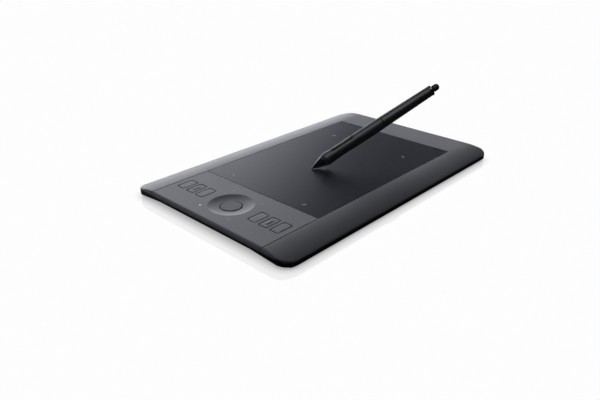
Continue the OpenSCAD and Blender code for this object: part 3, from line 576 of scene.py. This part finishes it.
# Keys: six ABS caps that travel in the panel's windows over dome switches, same finish as the panel. The
# middle one of each three has a raised bar for the finger to find.
KEY_PROUD = 0.05
KEY_EDGE = 0.25
CROWN = 0.05
BAR_HALF = np.array([4.3, 0.6])
BAR_CORNER, BAR_EDGE = 0.59, 0.3
BAR_HT, BAR_ROOT = 0.35, 0.2
CAP_POINTS = (25, 15)
key_top = top_z + KEY_PROUD


def cap(half, corner, foot, top, edge, crown):
    """A cap with upright sides, a quarter-round edge and a slightly crowned top: z rises by crown (1 - s^2)
    as the outline shrinks by s to the middle."""
    outline = round_loop(*CAP_POINTS, *half, corner)
    loops = [lift(outline * 0, foot), lift(outline, foot)]
    for a in np.linspace(0, np.pi / 2, 6):
        inset = edge * (1 - np.cos(a))
        loop = round_loop(*CAP_POINTS, *(half - inset), corner - inset)
        loops.append(lift(loop, top - edge + edge * np.sin(a)))
    rim = round_loop(*CAP_POINTS, *(half - edge), corner - edge)
    loops += [lift(rim * s, top + crown * (1 - s**2)) for s in (0.96, 0.9, 0.75, 0.5, 0.25, 0)]
    return np.array(loops)


for number, (node, mid) in enumerate(zip(KEYS, key_mids), 1):
    at = np.array([mid[0], mid[1], 0])
    parts = [loft(cap(key_half - WINDOW_EASE, KEY_CORNER, panel_skin, key_top - CROWN, KEY_EDGE, CROWN) + at)]
    if number in (2, 5):
        bar = cap(BAR_HALF, BAR_CORNER, key_top - BAR_ROOT, key_top + BAR_HT, BAR_EDGE, 0.0)
        parts.append(loft(bar + at))
    name = f"key_cap_{number}"
    show(name, surface(name, *parts), charcoal_abs, node, "key_plastic", node)

# Ring button: a flat ABS disc that stands a little above the dish's inner edge, with a round edge of its
# own, over a dome switch.
BUTTON_GREY = "#505257"
BUTTON_SINK = 0.35
BUTTON_SKIRT = 0.2
BUTTON_EDGE = 0.3
ring_top = ring_high[2] - BUTTON_SINK
disc_r = ring_button_r - WINDOW_EASE
disc_foot = panel_skin - BUTTON_SKIRT
profile = soft_path([
    (0, disc_foot, 0), (disc_r, disc_foot, 0), (disc_r, ring_top, BUTTON_EDGE), (0, ring_top, 0),
])
profile = np.concatenate([profile[:-1], [(disc_r - 0.6, ring_top), (disc_r - 3, ring_top)], profile[-1:]])
button = turned(profile, 96) + (control_x, 0, 0)
# Its ABS is coloured a little darker than the panel's.
button_abs = grained("spark_eroded_dark_abs", BUTTON_GREY, 0.5, 0.35, 0.008)
show(
    "ring_button_cap", surface("ring_button_cap", loft(button)), button_abs, "ring_button", "key_plastic",
    "ring_button",
)

# Ring lights: clear acrylic rods that end flush with the panel. One of the four is lit, a small white
# point, and the other three look like milky dots.
LIGHT_R = 0.7
LIGHT_RIM, LIGHT_CROWN = 0.03, 0.05
lights_low, lights_high = span("ring_light_pipes")
light_foot = lights_low[2]
light_inset = (lights_high[0] - lights_low[0]) / 2 - LIGHT_R
rod_profile = soft_path([
    (0, light_foot, 0), (LIGHT_R, light_foot, 0), (LIGHT_R, top_z + LIGHT_RIM, 0.1),
    (0, top_z + LIGHT_CROWN, 0),
])
rod = turned(rod_profile, 24)
acrylic = grained(
    "clear_acrylic", "#a3a6aa", 0.2, 0.5, 0.002, ("IOR", 1.49), ("Transmission Weight", 0.3), drift=0.0,
)
lit_acrylic = grained(
    "lit_acrylic", "#f2f4f6", 0.2, 0.5, 0.002, ("IOR", 1.49), ("Emission Color", linear("#f4f7fb")),
    ("Emission Strength", 0.4), drift=0.0,
)
spots = {
    (sx, sy): loft(rod + (control_x + sx * light_inset, sy * light_inset, 0))
    for sx in (-1, 1) for sy in (-1, 1)
}
lit_mesh = surface("ring_light_lit", spots.pop((-1, 1)))
show("ring_light_lit", lit_mesh, lit_acrylic, "tablet", "light_pipe", "ring_light_pipes")
dim_mesh = surface("ring_lights_dim", *spots.values())
show("ring_lights_dim", dim_mesh, acrylic, "tablet", "light_pipe", "ring_light_pipes")

# Drawing sheet: a replaceable film of polyester, textured for the feel of paper, laid flush in the tray.
# It is darker and smoother than the cover, so it shows the studio as a broad, soft gradient. Its tooth, some
# 0.05 mm wide, is drawn at 0.3 mm so that it shows.
SHEET_DARK = "#21242b"
film_low, film_high = sheet_low[:2] + (SHEET_EASE, SEAM_EASE), sheet_high[:2] - SEAM_EASE
cols = np.concatenate([film_low[0] + soft_edge, np.linspace(-80, 110, 20), film_high[0] - soft_edge[::-1]])
rows = np.concatenate([film_low[1] + soft_edge, np.linspace(-70, 70, 15), film_high[1] - soft_edge[::-1]])
x, y = np.meshgrid(cols, rows, indexing="ij")
from_side = np.minimum(np.minimum(x - film_low[0], film_high[0] - x), film_high[1] - np.abs(y))
sheet_top = top_z - edge_fall(from_side, SOFT)
whole = np.ones((len(cols) - 1, len(rows) - 1), bool)
film = grained("textured_polyester_film", SHEET_DARK, 0.23, 0.3, 0.003, ("IOR", 1.57), drift=0.03)
sheet_mesh = surface("drawing_sheet_film", plate(x, y, sheet_top, 0 * x + sheet_low[2], whole))
show("drawing_sheet_film", sheet_mesh, film, "tablet", "sheet_film", "drawing_sheet")

# Corner marks: four small angles screen printed on the sheet, at the corners of the area that the pen works
# on. The ink is light grey, flat and matt.
MARK_ARM = 3.0
MARK_WIDTH = 0.45
INK_T = 0.015
AREA_MID = -3.4
AREA_HALF = (78.4, 49.3)
arm = np.array([0, MARK_WIDTH, MARK_ARM])
x, y = np.meshgrid(arm, arm, indexing="ij")
corner = np.array([[True, True], [True, False]])
marks = []
for sx in (-1, 1):
    for sy in (-1, 1):
        mark_x = AREA_MID + sx * (AREA_HALF[0] - x)
        mark_y = sy * (AREA_HALF[1] - y)
        points, quads = plate(mark_x, mark_y, 0 * x + top_z + INK_T, 0 * x + top_z - INK_T, corner)
        marks.append((points, quads if sx == sy else quads[:, ::-1]))
ink = grained("screen_ink", "#a9abae", 0.6, 0.3, 0.002)
show("corner_marks", surface("corner_marks", *marks), ink, "tablet", "sheet_film")

# Pen nib: a rod of acetal, dull and a little waxy, with a round point, pushed into the pen's nose. The pen's
# own axes come from its joints: the slide runs along it, and the rocker's hinge crosses it.
joints = {row["name"]: row for row in frame["joints"]}
ROCKER_AT = 40.4
PIN_AT = 4.4
NIB_R, NIB_LEN = 0.8, 20.8
pen_z = np.array(joints["pen_lift"]["axis"])
pen_y = np.array(joints["pen_rocker_tilt"]["axis"])
pen_x = np.cross(pen_y, pen_z)
pen_tip = np.array(joints["pen_rocker_tilt"]["pos_m"]) / MM - PIN_AT * pen_x - ROCKER_AT * pen_z


def on_pen(points):
    """Points drawn upright on the pen's point, set where the pen stands."""
    return pen_tip + np.asarray(points, float) @ np.stack([pen_x, pen_y, pen_z])


def pen_turned(name, profile, sides=96):
    """A pen piece turned about the pen's axis, its profile closed back to its first point."""
    return surface(name, loft(on_pen(turned(np.concatenate([profile, profile[:1]]), sides))))


a = np.linspace(0, np.pi / 2, 8)
nib_profile = np.stack([NIB_R * np.sin(a), NIB_R * (1 - np.cos(a))], axis=-1).tolist()
nib_profile += [(NIB_R, NIB_LEN), (0, NIB_LEN)]
acetal = grained("acetal", "#2c2c2e", 0.4, 0.2, 0.003)
show("pen_nib_rod", pen_turned("pen_nib_rod", nib_profile, 32), acetal, "pen_nib", "nib_plastic", "pen_nib")

# Pen nose: a polished black ABS cone with a small collar at its mouth, screwed into the grip. High gloss
# gives thin bright lines along its flanks, and a skirt of the grip's soft-touch rubber covers its wide end.
NOSE_LEN = 18.0
GRIP_FRONT = 7.0
SKIRT_AT, SKIRT_R = 14.0, 5.5
MOUTH_AT, MOUTH_END, MOUTH_BORE = 2.2, 8.6, 0.86
NOSE_BORE = 2.5
SPIGOT_R, SPIGOT_LEN = 4.55, 8.0
nose_profile = soft_path([
    (MOUTH_BORE, MOUTH_END, 0), (MOUTH_BORE, MOUTH_AT, 0.1), (1.3, MOUTH_AT, 0.2), (2.0, 4.0, 0.2),
    (2.05, 4.25, 0.05), (2.4, 4.3, 0.15), (SKIRT_R - 0.12, SKIRT_AT - 0.1, 0.15),
    (SKIRT_R - 0.4, SKIRT_AT + 0.1, 0.1), (NOSE_BORE, SKIRT_AT + 0.1, 0), (NOSE_BORE, MOUTH_END, 0),
])
skirt_profile = soft_path([
    (NOSE_BORE, SKIRT_AT, 0), (SKIRT_R, SKIRT_AT, 0.12), (GRIP_FRONT - 0.08, NOSE_LEN - 0.15, 0.6),
    (GRIP_FRONT - 0.1, NOSE_LEN, 0.05), (SPIGOT_R, NOSE_LEN, 0), (SPIGOT_R, NOSE_LEN + SPIGOT_LEN, 0),
    (NOSE_BORE, NOSE_LEN + SPIGOT_LEN, 0),
])
# Soft-touch rubber: matt, with a faint velvet sheen at its edges. Its fine grain, some 0.1 mm wide, is drawn
# at 0.4 mm so that it shows.
soft_touch = grained(
    "soft_touch_rubber", "#1f2024", 0.47, 0.4, 0.002, ("Sheen Weight", 0.06), ("Sheen Roughness", 0.5),
)
gloss_abs = grained(
    "polished_black_abs", "#0b0b0d", 0.12, 6.0, 0.004, ("Coat Weight", 0.5), ("Coat Roughness", 0.05),
    spread=0.03,
)
show("pen_nose_cone", pen_turned("pen_nose_cone", nose_profile), gloss_abs, "pen", "pen_gloss", "pen_nose")
skirt_mesh = pen_turned("pen_nose_skirt", skirt_profile)
show("pen_nose_skirt", skirt_mesh, soft_touch, "pen", "pen_rubber", "pen_nose")

# Pen grip: a sleeve of soft-touch rubber moulded over the pen, flared at its front, drawn in to a waist under
# the finger and swelling a little behind it, with a long window for the rocker.
WAIST_R, WAIST_AT = 6.1, 37.0
SWELL_R, SWELL_AT = 6.55, 65.0
GRIP_TAIL, GRIP_END = 6.3, 86.8
GRIP_BORE = 4.6
FRONT_EDGE, REAR_EDGE = 0.12, 0.4
WINDOW_HALF = np.array([3.3, 13.1])
WINDOW_CORNER = 1.6
WINDOW_DEPTH = 1.5
PATCH_HALF = (4.2, 15)


def grip_radius(s):
    """Radius of the grip at a distance from the nib's point: a parabola from the flare down to the waist, a
    cubic up to the swell (3 t^2 - 2 t^3), and a parabola down to the tail."""
    flare = WAIST_R + (GRIP_FRONT - WAIST_R) * ((WAIST_AT - s) / (WAIST_AT - NOSE_LEN)) ** 2
    t = np.clip((s - WAIST_AT) / (SWELL_AT - WAIST_AT), 0, 1)
    swell = WAIST_R + (SWELL_R - WAIST_R) * t**2 * (3 - 2 * t)
    t = np.clip((s - SWELL_AT) / (GRIP_END - SWELL_AT), 0, 1)
    return np.where(s < WAIST_AT, flare, swell + (GRIP_TAIL - SWELL_R) * t**2)


def on_grip(girth, s, rise):
    """A place on the grip: girth in mm round its waist from the rocker's middle, s along, rise above."""
    r = grip_radius(s) + rise
    a = girth / WAIST_R
    return np.stack([r * np.cos(a), r * np.sin(a), s + 0 * a], axis=-1)


# The patch is the part of the sleeve that the window's own skin fills.
patch_x = np.linspace(-PATCH_HALF[0], PATCH_HALF[0], 13)
patch_s = np.linspace(ROCKER_AT - PATCH_HALF[1], ROCKER_AT + PATCH_HALF[1], 41)
rest_x = np.linspace(PATCH_HALF[0], 2 * np.pi * WAIST_R - PATCH_HALF[0], 72)[1:-1]
girth = np.concatenate([patch_x, rest_x])
edge_s = np.array([0, 0.04, FRONT_EDGE, 0.25, REAR_EDGE])
along = np.unique(np.round(np.concatenate([
    NOSE_LEN + edge_s, np.linspace(NOSE_LEN + edge_s[-1], patch_s[0], 8), patch_s,
    np.linspace(patch_s[-1], GRIP_END - edge_s[-1], 30), GRIP_END - edge_s,
]), 5))
g, s = np.meshgrid(girth, along)
rise = -edge_fall(s - NOSE_LEN, FRONT_EDGE) - edge_fall(GRIP_END - s, REAR_EDGE)
sleeve = on_grip(g, s, rise)
bore = sleeve[[0, -1]].copy()
bore[..., :2] *= GRIP_BORE / np.linalg.norm(bore[..., :2], axis=-1, keepdims=True)
sleeve = np.concatenate([bore[:1], sleeve, bore[1:], bore[:1]])
sleeve_quads = grid_quads(len(sleeve), len(girth))
row, col = np.divmod(sleeve_quads[:, 0], len(girth))
s_mid = np.concatenate([[0], (along[:-1] + along[1:]) / 2, [0, 0, 0]])[row]
in_patch = (col < len(patch_x) - 1) & (s_mid > patch_s[0]) & (s_mid < patch_s[-1])
window = [on_grip(*rectangle_loop(patch_x, patch_s).T, 0.0)]
for out, depth in ((0.25, 0.0), (0.15, 0.03), (0.05, 0.12), (0, 0.3), (0, WINDOW_DEPTH)):
    loop = round_loop(len(patch_x), len(patch_s), *(WINDOW_HALF + out), WINDOW_CORNER + out)
    window.append(on_grip(loop[:, 0], loop[:, 1] + ROCKER_AT, -depth))
window += [on_grip(loop[:, 0] * t, loop[:, 1] * t + ROCKER_AT, -WINDOW_DEPTH) for t in (0.6, 0.2, 0)]
grip_parts = [(on_pen(sleeve.reshape(-1, 3)), sleeve_quads[~in_patch]), loft(on_pen(window))]
show("pen_grip_sleeve", surface("pen_grip_sleeve", *grip_parts), soft_touch, "pen", "pen_rubber", "pen_grip")

# Pen rocker: one ABS lever that lies along the grip and tilts on its pin, with a dip over the pivot that
# parts its two presses. Its satin mould gives it a narrow, softened highlight.
ROCKER_HALF = np.array([2.4, 12.4])
ROCKER_CORNER = 2.0
ROCKER_PROUD, LEVER_DEPTH = 0.4, 1.3
LEVER_EDGE = 0.45
LEVER_POINTS = (13, 61)
DIP_HALF, DIP_DEPTH = 1.4, 0.3


def rocker_rise(s):
    """Height of the rocker above the grip: level, with a cosine dip over its pivot."""
    t = np.clip(np.abs(s - ROCKER_AT) / DIP_HALF, 0, 1)
    return ROCKER_PROUD - DIP_DEPTH * (1 + np.cos(np.pi * t)) / 2


loop = round_loop(*LEVER_POINTS, *ROCKER_HALF, ROCKER_CORNER)
s = loop[:, 1] + ROCKER_AT
lever = [on_grip(loop[:, 0] * t, s, ROCKER_PROUD - LEVER_DEPTH) for t in (0, 0.35, 0.7)]
for inset, fall in ((0, LEVER_DEPTH), (0, LEVER_EDGE), (0.08, 0.22), (0.22, 0.08), (LEVER_EDGE, 0.0)):
    loop = round_loop(*LEVER_POINTS, *(ROCKER_HALF - inset), ROCKER_CORNER - inset)
    s = loop[:, 1] + ROCKER_AT
    lever.append(on_grip(loop[:, 0], s, rocker_rise(s) - fall))
lever += [on_grip(loop[:, 0] * t, s, rocker_rise(s)) for t in (0.7, 0.35, 0)]
satin_abs = grained("satin_black_abs", "#121214", 0.3, 0.4, 0.003)
lever_mesh = surface("pen_rocker_lever", loft(on_pen(lever)))
show("pen_rocker_lever", lever_mesh, satin_abs, "pen_rocker", "rocker_plastic", "pen_rocker")

# Pen barrel: a tapering tube of moulded ABS, its spigot pushed into the grip's rear end. A matt soft-feel
# paint spreads the light along it into one broad band.
BARREL_START, BARREL_END = 87.2, 146.0
TAIL_R = 5.4
BARREL_BORE, SPIGOT_BORE = 4.0, 3.4
barrel_foot = GRIP_END - SPIGOT_LEN
barrel_profile = soft_path([
    (SPIGOT_BORE, barrel_foot, 0), (SPIGOT_R, barrel_foot, 0), (SPIGOT_R, BARREL_START, 0.05),
    (GRIP_TAIL, BARREL_START, 0.3), (TAIL_R, BARREL_END, 0.2), (BARREL_BORE, BARREL_END, 0),
    (BARREL_BORE, BARREL_START + SPIGOT_LEN, 0), (SPIGOT_BORE, BARREL_START + SPIGOT_LEN, 0),
])
matt_paint = grained("matt_painted_abs", "#202125", 0.44, 0.35, 0.001)
barrel_mesh = pen_turned("pen_barrel_tube", barrel_profile)
show("pen_barrel_tube", barrel_mesh, matt_paint, "pen", "pen_barrel_plastic", "pen_barrel")

# Pen tail ring: a ring of the nose's polished ABS that flares out beyond the barrel and steps in again to a
# tapering neck round the eraser's shaft. Its spigot is pushed into the barrel.
TAIL_RING_R = 5.75
TAIL_BORE, TAIL_SPIGOT_R, TAIL_SPIGOT_LEN = 2.7, 3.9, 7.0
TAIL_START, FLARE_END, NECK_START, NECK_END = BARREL_END + 0.2, 148.2, 148.6, 149.6
tail_foot = BARREL_END - TAIL_SPIGOT_LEN
tail_profile = soft_path([
    (TAIL_BORE, tail_foot, 0), (TAIL_SPIGOT_R, tail_foot, 0), (TAIL_SPIGOT_R, TAIL_START, 0.05),
    (TAIL_RING_R - 0.35, TAIL_START, 0.25), (TAIL_RING_R, FLARE_END, 0.2),
    (TAIL_RING_R - 0.2, FLARE_END + 0.3, 0.1), (4.4, NECK_START, 0.15), (3.4, NECK_END, 0.2),
    (TAIL_BORE, NECK_END, 0),
])
show("pen_tail_cap", pen_turned("pen_tail_cap", tail_profile), gloss_abs, "pen", "pen_gloss", "pen_tail_ring")

# Pen eraser: a round-ended cap of filled elastomer on a shaft that presses into the tail. It is black and
# slightly shiny from handling.
PEN_LEN = 157.5
ERASER_R, ERASER_LOW, ERASER_EDGE = 3.5, 150.8, 0.15
SHAFT_R, SHAFT_LEN = 2.65, 3
shaft_foot = ERASER_LOW - SHAFT_LEN
a = np.linspace(0, np.pi / 2, 10)
dome = np.stack([ERASER_R * np.cos(a), PEN_LEN - ERASER_R + ERASER_R * np.sin(a)], axis=-1)
eraser_profile = [
    (0, shaft_foot), (SHAFT_R, shaft_foot), (SHAFT_R, ERASER_LOW), (ERASER_R - ERASER_EDGE, ERASER_LOW),
    (ERASER_R, ERASER_LOW + ERASER_EDGE), *dome,
]
eraser_rubber = grained("eraser_elastomer", "#101013", 0.5, 0.6, 0.004, ("Specular IOR Level", 0.3))
eraser_mesh = pen_turned("pen_eraser_cap", eraser_profile, 64)
show("pen_eraser_cap", eraser_mesh, eraser_rubber, "pen_eraser", "eraser_plastic", "pen_eraser")

# Inside the pen: a dull grey core of sintered ferrite with a winding of glossy enamelled copper, and two
# pressure cells in drawn cans of nickel silver.
dress(grained("sintered_ferrite", "#2b2b2d", 0.6, 0.2, 0.01), "pen_coil_core")
dress(worked_metal("enamelled_copper", "#a8592c", 0.3, 0.3), "pen_coil_winding")
dress(worked_metal("drawn_nickel_silver", "#b7b4ad", 0.28, 1.0), "pen_pressure_sensor", "pen_eraser_sensor")

# Studio floor: a wide pale board, matt under a thin gloss. It shows white to the camera, darker where the
# object keeps the light off it, and close round the object its polish holds a faint mirror image.
FLOOR_HALF = 12.0
SHADE_REACH, SHADE_FULL = 0.010, 0.95
SHADE_DARK, SHADE_OPEN = 0.42, 0.985
POLISH = 0.115
POLISH_FROM, POLISH_TO = 0.0105, 0.0125
POLISH_DEPTH_RATE = 1.3
BEHIND_FROM, BEHIND_TO, BEHIND_LEAST = 0.104, 0.14, 0.03
floor_mesh = bpy.data.meshes.new("studio_floor")
floor_mesh.from_pydata([(px, py, 0) for px, py in ((-1, -1), (1, -1), (1, 1), (-1, 1))], [], [(0, 1, 2, 3)])
floor_mesh.transform(Matrix.Diagonal((FLOOR_HALF, FLOOR_HALF, 1, 1)))
floor = bpy.data.objects.new("studio_floor", floor_mesh)
bpy.context.scene.collection.objects.link(floor)


def seen_rays(tree, glossy):
    """1 for rays from the camera or through glass, and the given level for reflected ones."""
    path = add(tree, "ShaderNodeLightPath").outputs
    direct = add(
        tree, "ShaderNodeMath", (0, path["Is Camera Ray"]), (1, path["Is Transmission Ray"]),
        operation="MAXIMUM",
    )
    mirrored = add(tree, "ShaderNodeMath", (0, path["Is Glossy Ray"]), (1, glossy), operation="MULTIPLY")
    both = add(tree, "ShaderNodeMath", (0, direct.outputs[0]), (1, mirrored.outputs[0]), operation="MAXIMUM")
    return both.outputs[0]


# Pale floor paint: its own grey only lights the object from below. What is seen is an even white less the
# soft shade close under the object.
floor_paint, tree, shader, place = new_material(
    "pale_floor", ("Base Color", linear("#3a3a3a")), ("Roughness", 0.9), ("Specular IOR Level", 0.0),
)
near = add(tree, "ShaderNodeAmbientOcclusion", ("Distance", SHADE_REACH), samples=16)
shade = add(
    tree, "ShaderNodeMapRange", ("Value", near.outputs["AO"]), ("From Min", 0.0), ("From Max", SHADE_FULL),
    ("To Min", SHADE_DARK), ("To Max", SHADE_OPEN),
)
away = add(tree, "ShaderNodeVectorMath", (0, place), operation="ABSOLUTE")
for work, amount in (
    ("SUBTRACT", (half_len * MM, half_dep * MM, 0)), ("MAXIMUM", (0, 0, 0)),
    ("MULTIPLY", (1, POLISH_DEPTH_RATE, 0)),
):
    away = add(tree, "ShaderNodeVectorMath", (0, away.outputs[0]), (1, amount), operation=work)
away = add(tree, "ShaderNodeVectorMath", (0, away.outputs[0]), operation="LENGTH")
polish = add(
    tree, "ShaderNodeMapRange", ("Value", away.outputs["Value"]), ("From Min", POLISH_FROM),
    ("From Max", POLISH_TO), ("To Min", POLISH), ("To Max", 0.0),
).outputs["Result"]
level = add(tree, "ShaderNodeMath", (0, shade.outputs["Result"]), (1, polish), operation="SUBTRACT")
white = add(tree, "ShaderNodeEmission", ("Color", (1, 1, 1, 1)), ("Strength", level.outputs[0]))
gloss = add(tree, "ShaderNodeBsdfGlossy", ("Color", polish), ("Roughness", 0.0))
lit = add(tree, "ShaderNodeAddShader", (0, white.outputs[0]), (1, gloss.outputs[0]))
depth = add(tree, "ShaderNodeSeparateXYZ", (0, place)).outputs["Y"]
behind = add(
    tree, "ShaderNodeMapRange", ("Value", depth), ("From Min", BEHIND_FROM), ("From Max", BEHIND_TO),
    ("To Min", BEHIND_LEAST),
)
seen = seen_rays(tree, behind.outputs["Result"])
blend = add(tree, "ShaderNodeMixShader", (0, seen), (1, shader.outputs[0]), (2, lit.outputs[0]))
tree.links.new(blend.outputs[0], tree.nodes["Material Output"].inputs["Surface"])
floor_mesh.materials.append(floor_paint)

# Studio room: dim, and white to the camera. Reflections see a slightly cool white sweep at the back right, a
# bright line low behind the object and a round panel of light overhead.
ROOM_FILL = 0.05
COOL = (0.96, 0.99, 1.06)
SWEEP_LEAN = -0.235
SWEEP_FROM, SWEEP_TO = 0.50, 0.66
SWEEP_DARK, SWEEP_GLOW = 0.02, 1.38
SWEEP_SIDE = 0.25
HORIZON_FROM, HORIZON_TO = 0.0, 0.12
HORIZON_BACK, HORIZON_GLOW = 0.3, 4.8
PANEL_AT = (-0.366, -0.146, 0.919)
PANEL_CORE, PANEL_END = radians(19), radians(29)
PANEL_GLOW = 3.3
world = bpy.data.worlds.new("studio_room")
bpy.context.scene.world = world
world.use_nodes = True
tree = world.node_tree
tree.nodes.clear()
ray = add(tree, "ShaderNodeTexCoord").outputs["Generated"]
path = add(tree, "ShaderNodeLightPath").outputs
heading = add(tree, "ShaderNodeSeparateXYZ", (0, ray)).outputs
lean = add(
    tree, "ShaderNodeMath", (0, heading["Z"]), (1, SWEEP_LEAN), (2, heading["Y"]), operation="MULTIPLY_ADD",
)
sweep = add(
    tree, "ShaderNodeMapRange", ("Value", lean.outputs[0]), ("From Min", SWEEP_FROM), ("From Max", SWEEP_TO),
    ("To Min", SWEEP_DARK), ("To Max", SWEEP_GLOW),
)
aside = add(
    tree, "ShaderNodeMapRange", ("Value", heading["X"]), ("From Min", -SWEEP_SIDE), ("From Max", SWEEP_SIDE),
)
low = add(
    tree, "ShaderNodeMapRange", ("Value", heading["Z"]), ("From Min", HORIZON_TO), ("From Max", HORIZON_FROM),
)
back = add(
    tree, "ShaderNodeMapRange", ("Value", heading["Y"]), ("From Min", 0.0), ("From Max", HORIZON_BACK),
    ("To Max", HORIZON_GLOW),
)
facing = add(tree, "ShaderNodeVectorMath", (0, ray), (1, PANEL_AT), operation="DOT_PRODUCT").outputs["Value"]
panel = add(
    tree, "ShaderNodeMapRange", ("Value", facing), ("From Min", np.cos(PANEL_END)),
    ("From Max", np.cos(PANEL_CORE)), ("To Max", PANEL_GLOW),
)
sweep = add(tree, "ShaderNodeMath", (0, sweep.outputs[0]), (1, aside.outputs[0]), operation="MULTIPLY")
horizon = add(tree, "ShaderNodeMath", (0, low.outputs[0]), (1, back.outputs[0]), operation="MULTIPLY")
glow = add(tree, "ShaderNodeMath", (0, sweep.outputs[0]), (1, horizon.outputs[0]), operation="MAXIMUM")
glow = add(tree, "ShaderNodeMath", (0, glow.outputs[0]), (1, panel.outputs[0]), operation="MAXIMUM")
seen = seen_rays(tree, glow.outputs[0])
level = add(tree, "ShaderNodeMath", (0, seen), (1, ROOM_FILL), operation="MAXIMUM")
level = add(tree, "ShaderNodeMix", (0, path["Is Singular Ray"]), (2, level.outputs[0]), (3, 1.0))
tone = add(
    tree, "ShaderNodeMixRGB", ("Fac", path["Is Glossy Ray"]), ("Color1", (1, 1, 1, 1)),
    ("Color2", (*COOL, 1)),
)
room = add(tree, "ShaderNodeBackground", ("Color", tone.outputs["Color"]), ("Strength", level.outputs[0]))
add(tree, "ShaderNodeOutputWorld", ("Surface", room.outputs[0]))

# Back softbox: the one lamp, wide and low behind the back edge, to its right. Reflections and the camera see
# the room in its place.
SOFTBOX_SIZE = (4.0, 1.0)
SOFTBOX_WATTS = 222
SOFTBOX_AT = (0.9, 1.7, 0.52)
softbox_data = bpy.data.lights.new("back_softbox", "AREA")
softbox_data.shape = "RECTANGLE"
softbox_data.size, softbox_data.size_y = SOFTBOX_SIZE
softbox_data.energy = SOFTBOX_WATTS
softbox = bpy.data.objects.new("back_softbox", softbox_data)
softbox.location = SOFTBOX_AT
softbox.rotation_euler = (-softbox.location).to_track_quat("-Z", "Y").to_euler()
softbox.visible_camera = False
softbox.visible_glossy = False
bpy.context.scene.collection.objects.link(softbox)

# Camera: at the photograph's viewing angle, from the front left, with a 35 mm view. Its axes were fitted to
# the tablet's corners and seams.
CAMERA_AT = (-0.4273, -0.37265, 0.2512)
LENS, SENSOR = 35.42, 36
camera_data = bpy.data.cameras.new("camera")
camera_data.lens = LENS
camera_data.sensor_width = SENSOR
camera = bpy.data.objects.new("camera", camera_data)
right = Vector((0.68752, -0.72615, -0.00421))
up = Vector((0.32445, 0.30200, 0.89640))
forward = Vector((0.64965, 0.61766, -0.44324))
aim = Matrix((right, up, -forward)).transposed().to_4x4()
camera.matrix_world = Matrix.Translation(CAMERA_AT) @ aim
bpy.context.scene.collection.objects.link(camera)
bpy.context.scene.camera = camera
bpy.context.scene.view_settings.view_transform = "Standard"
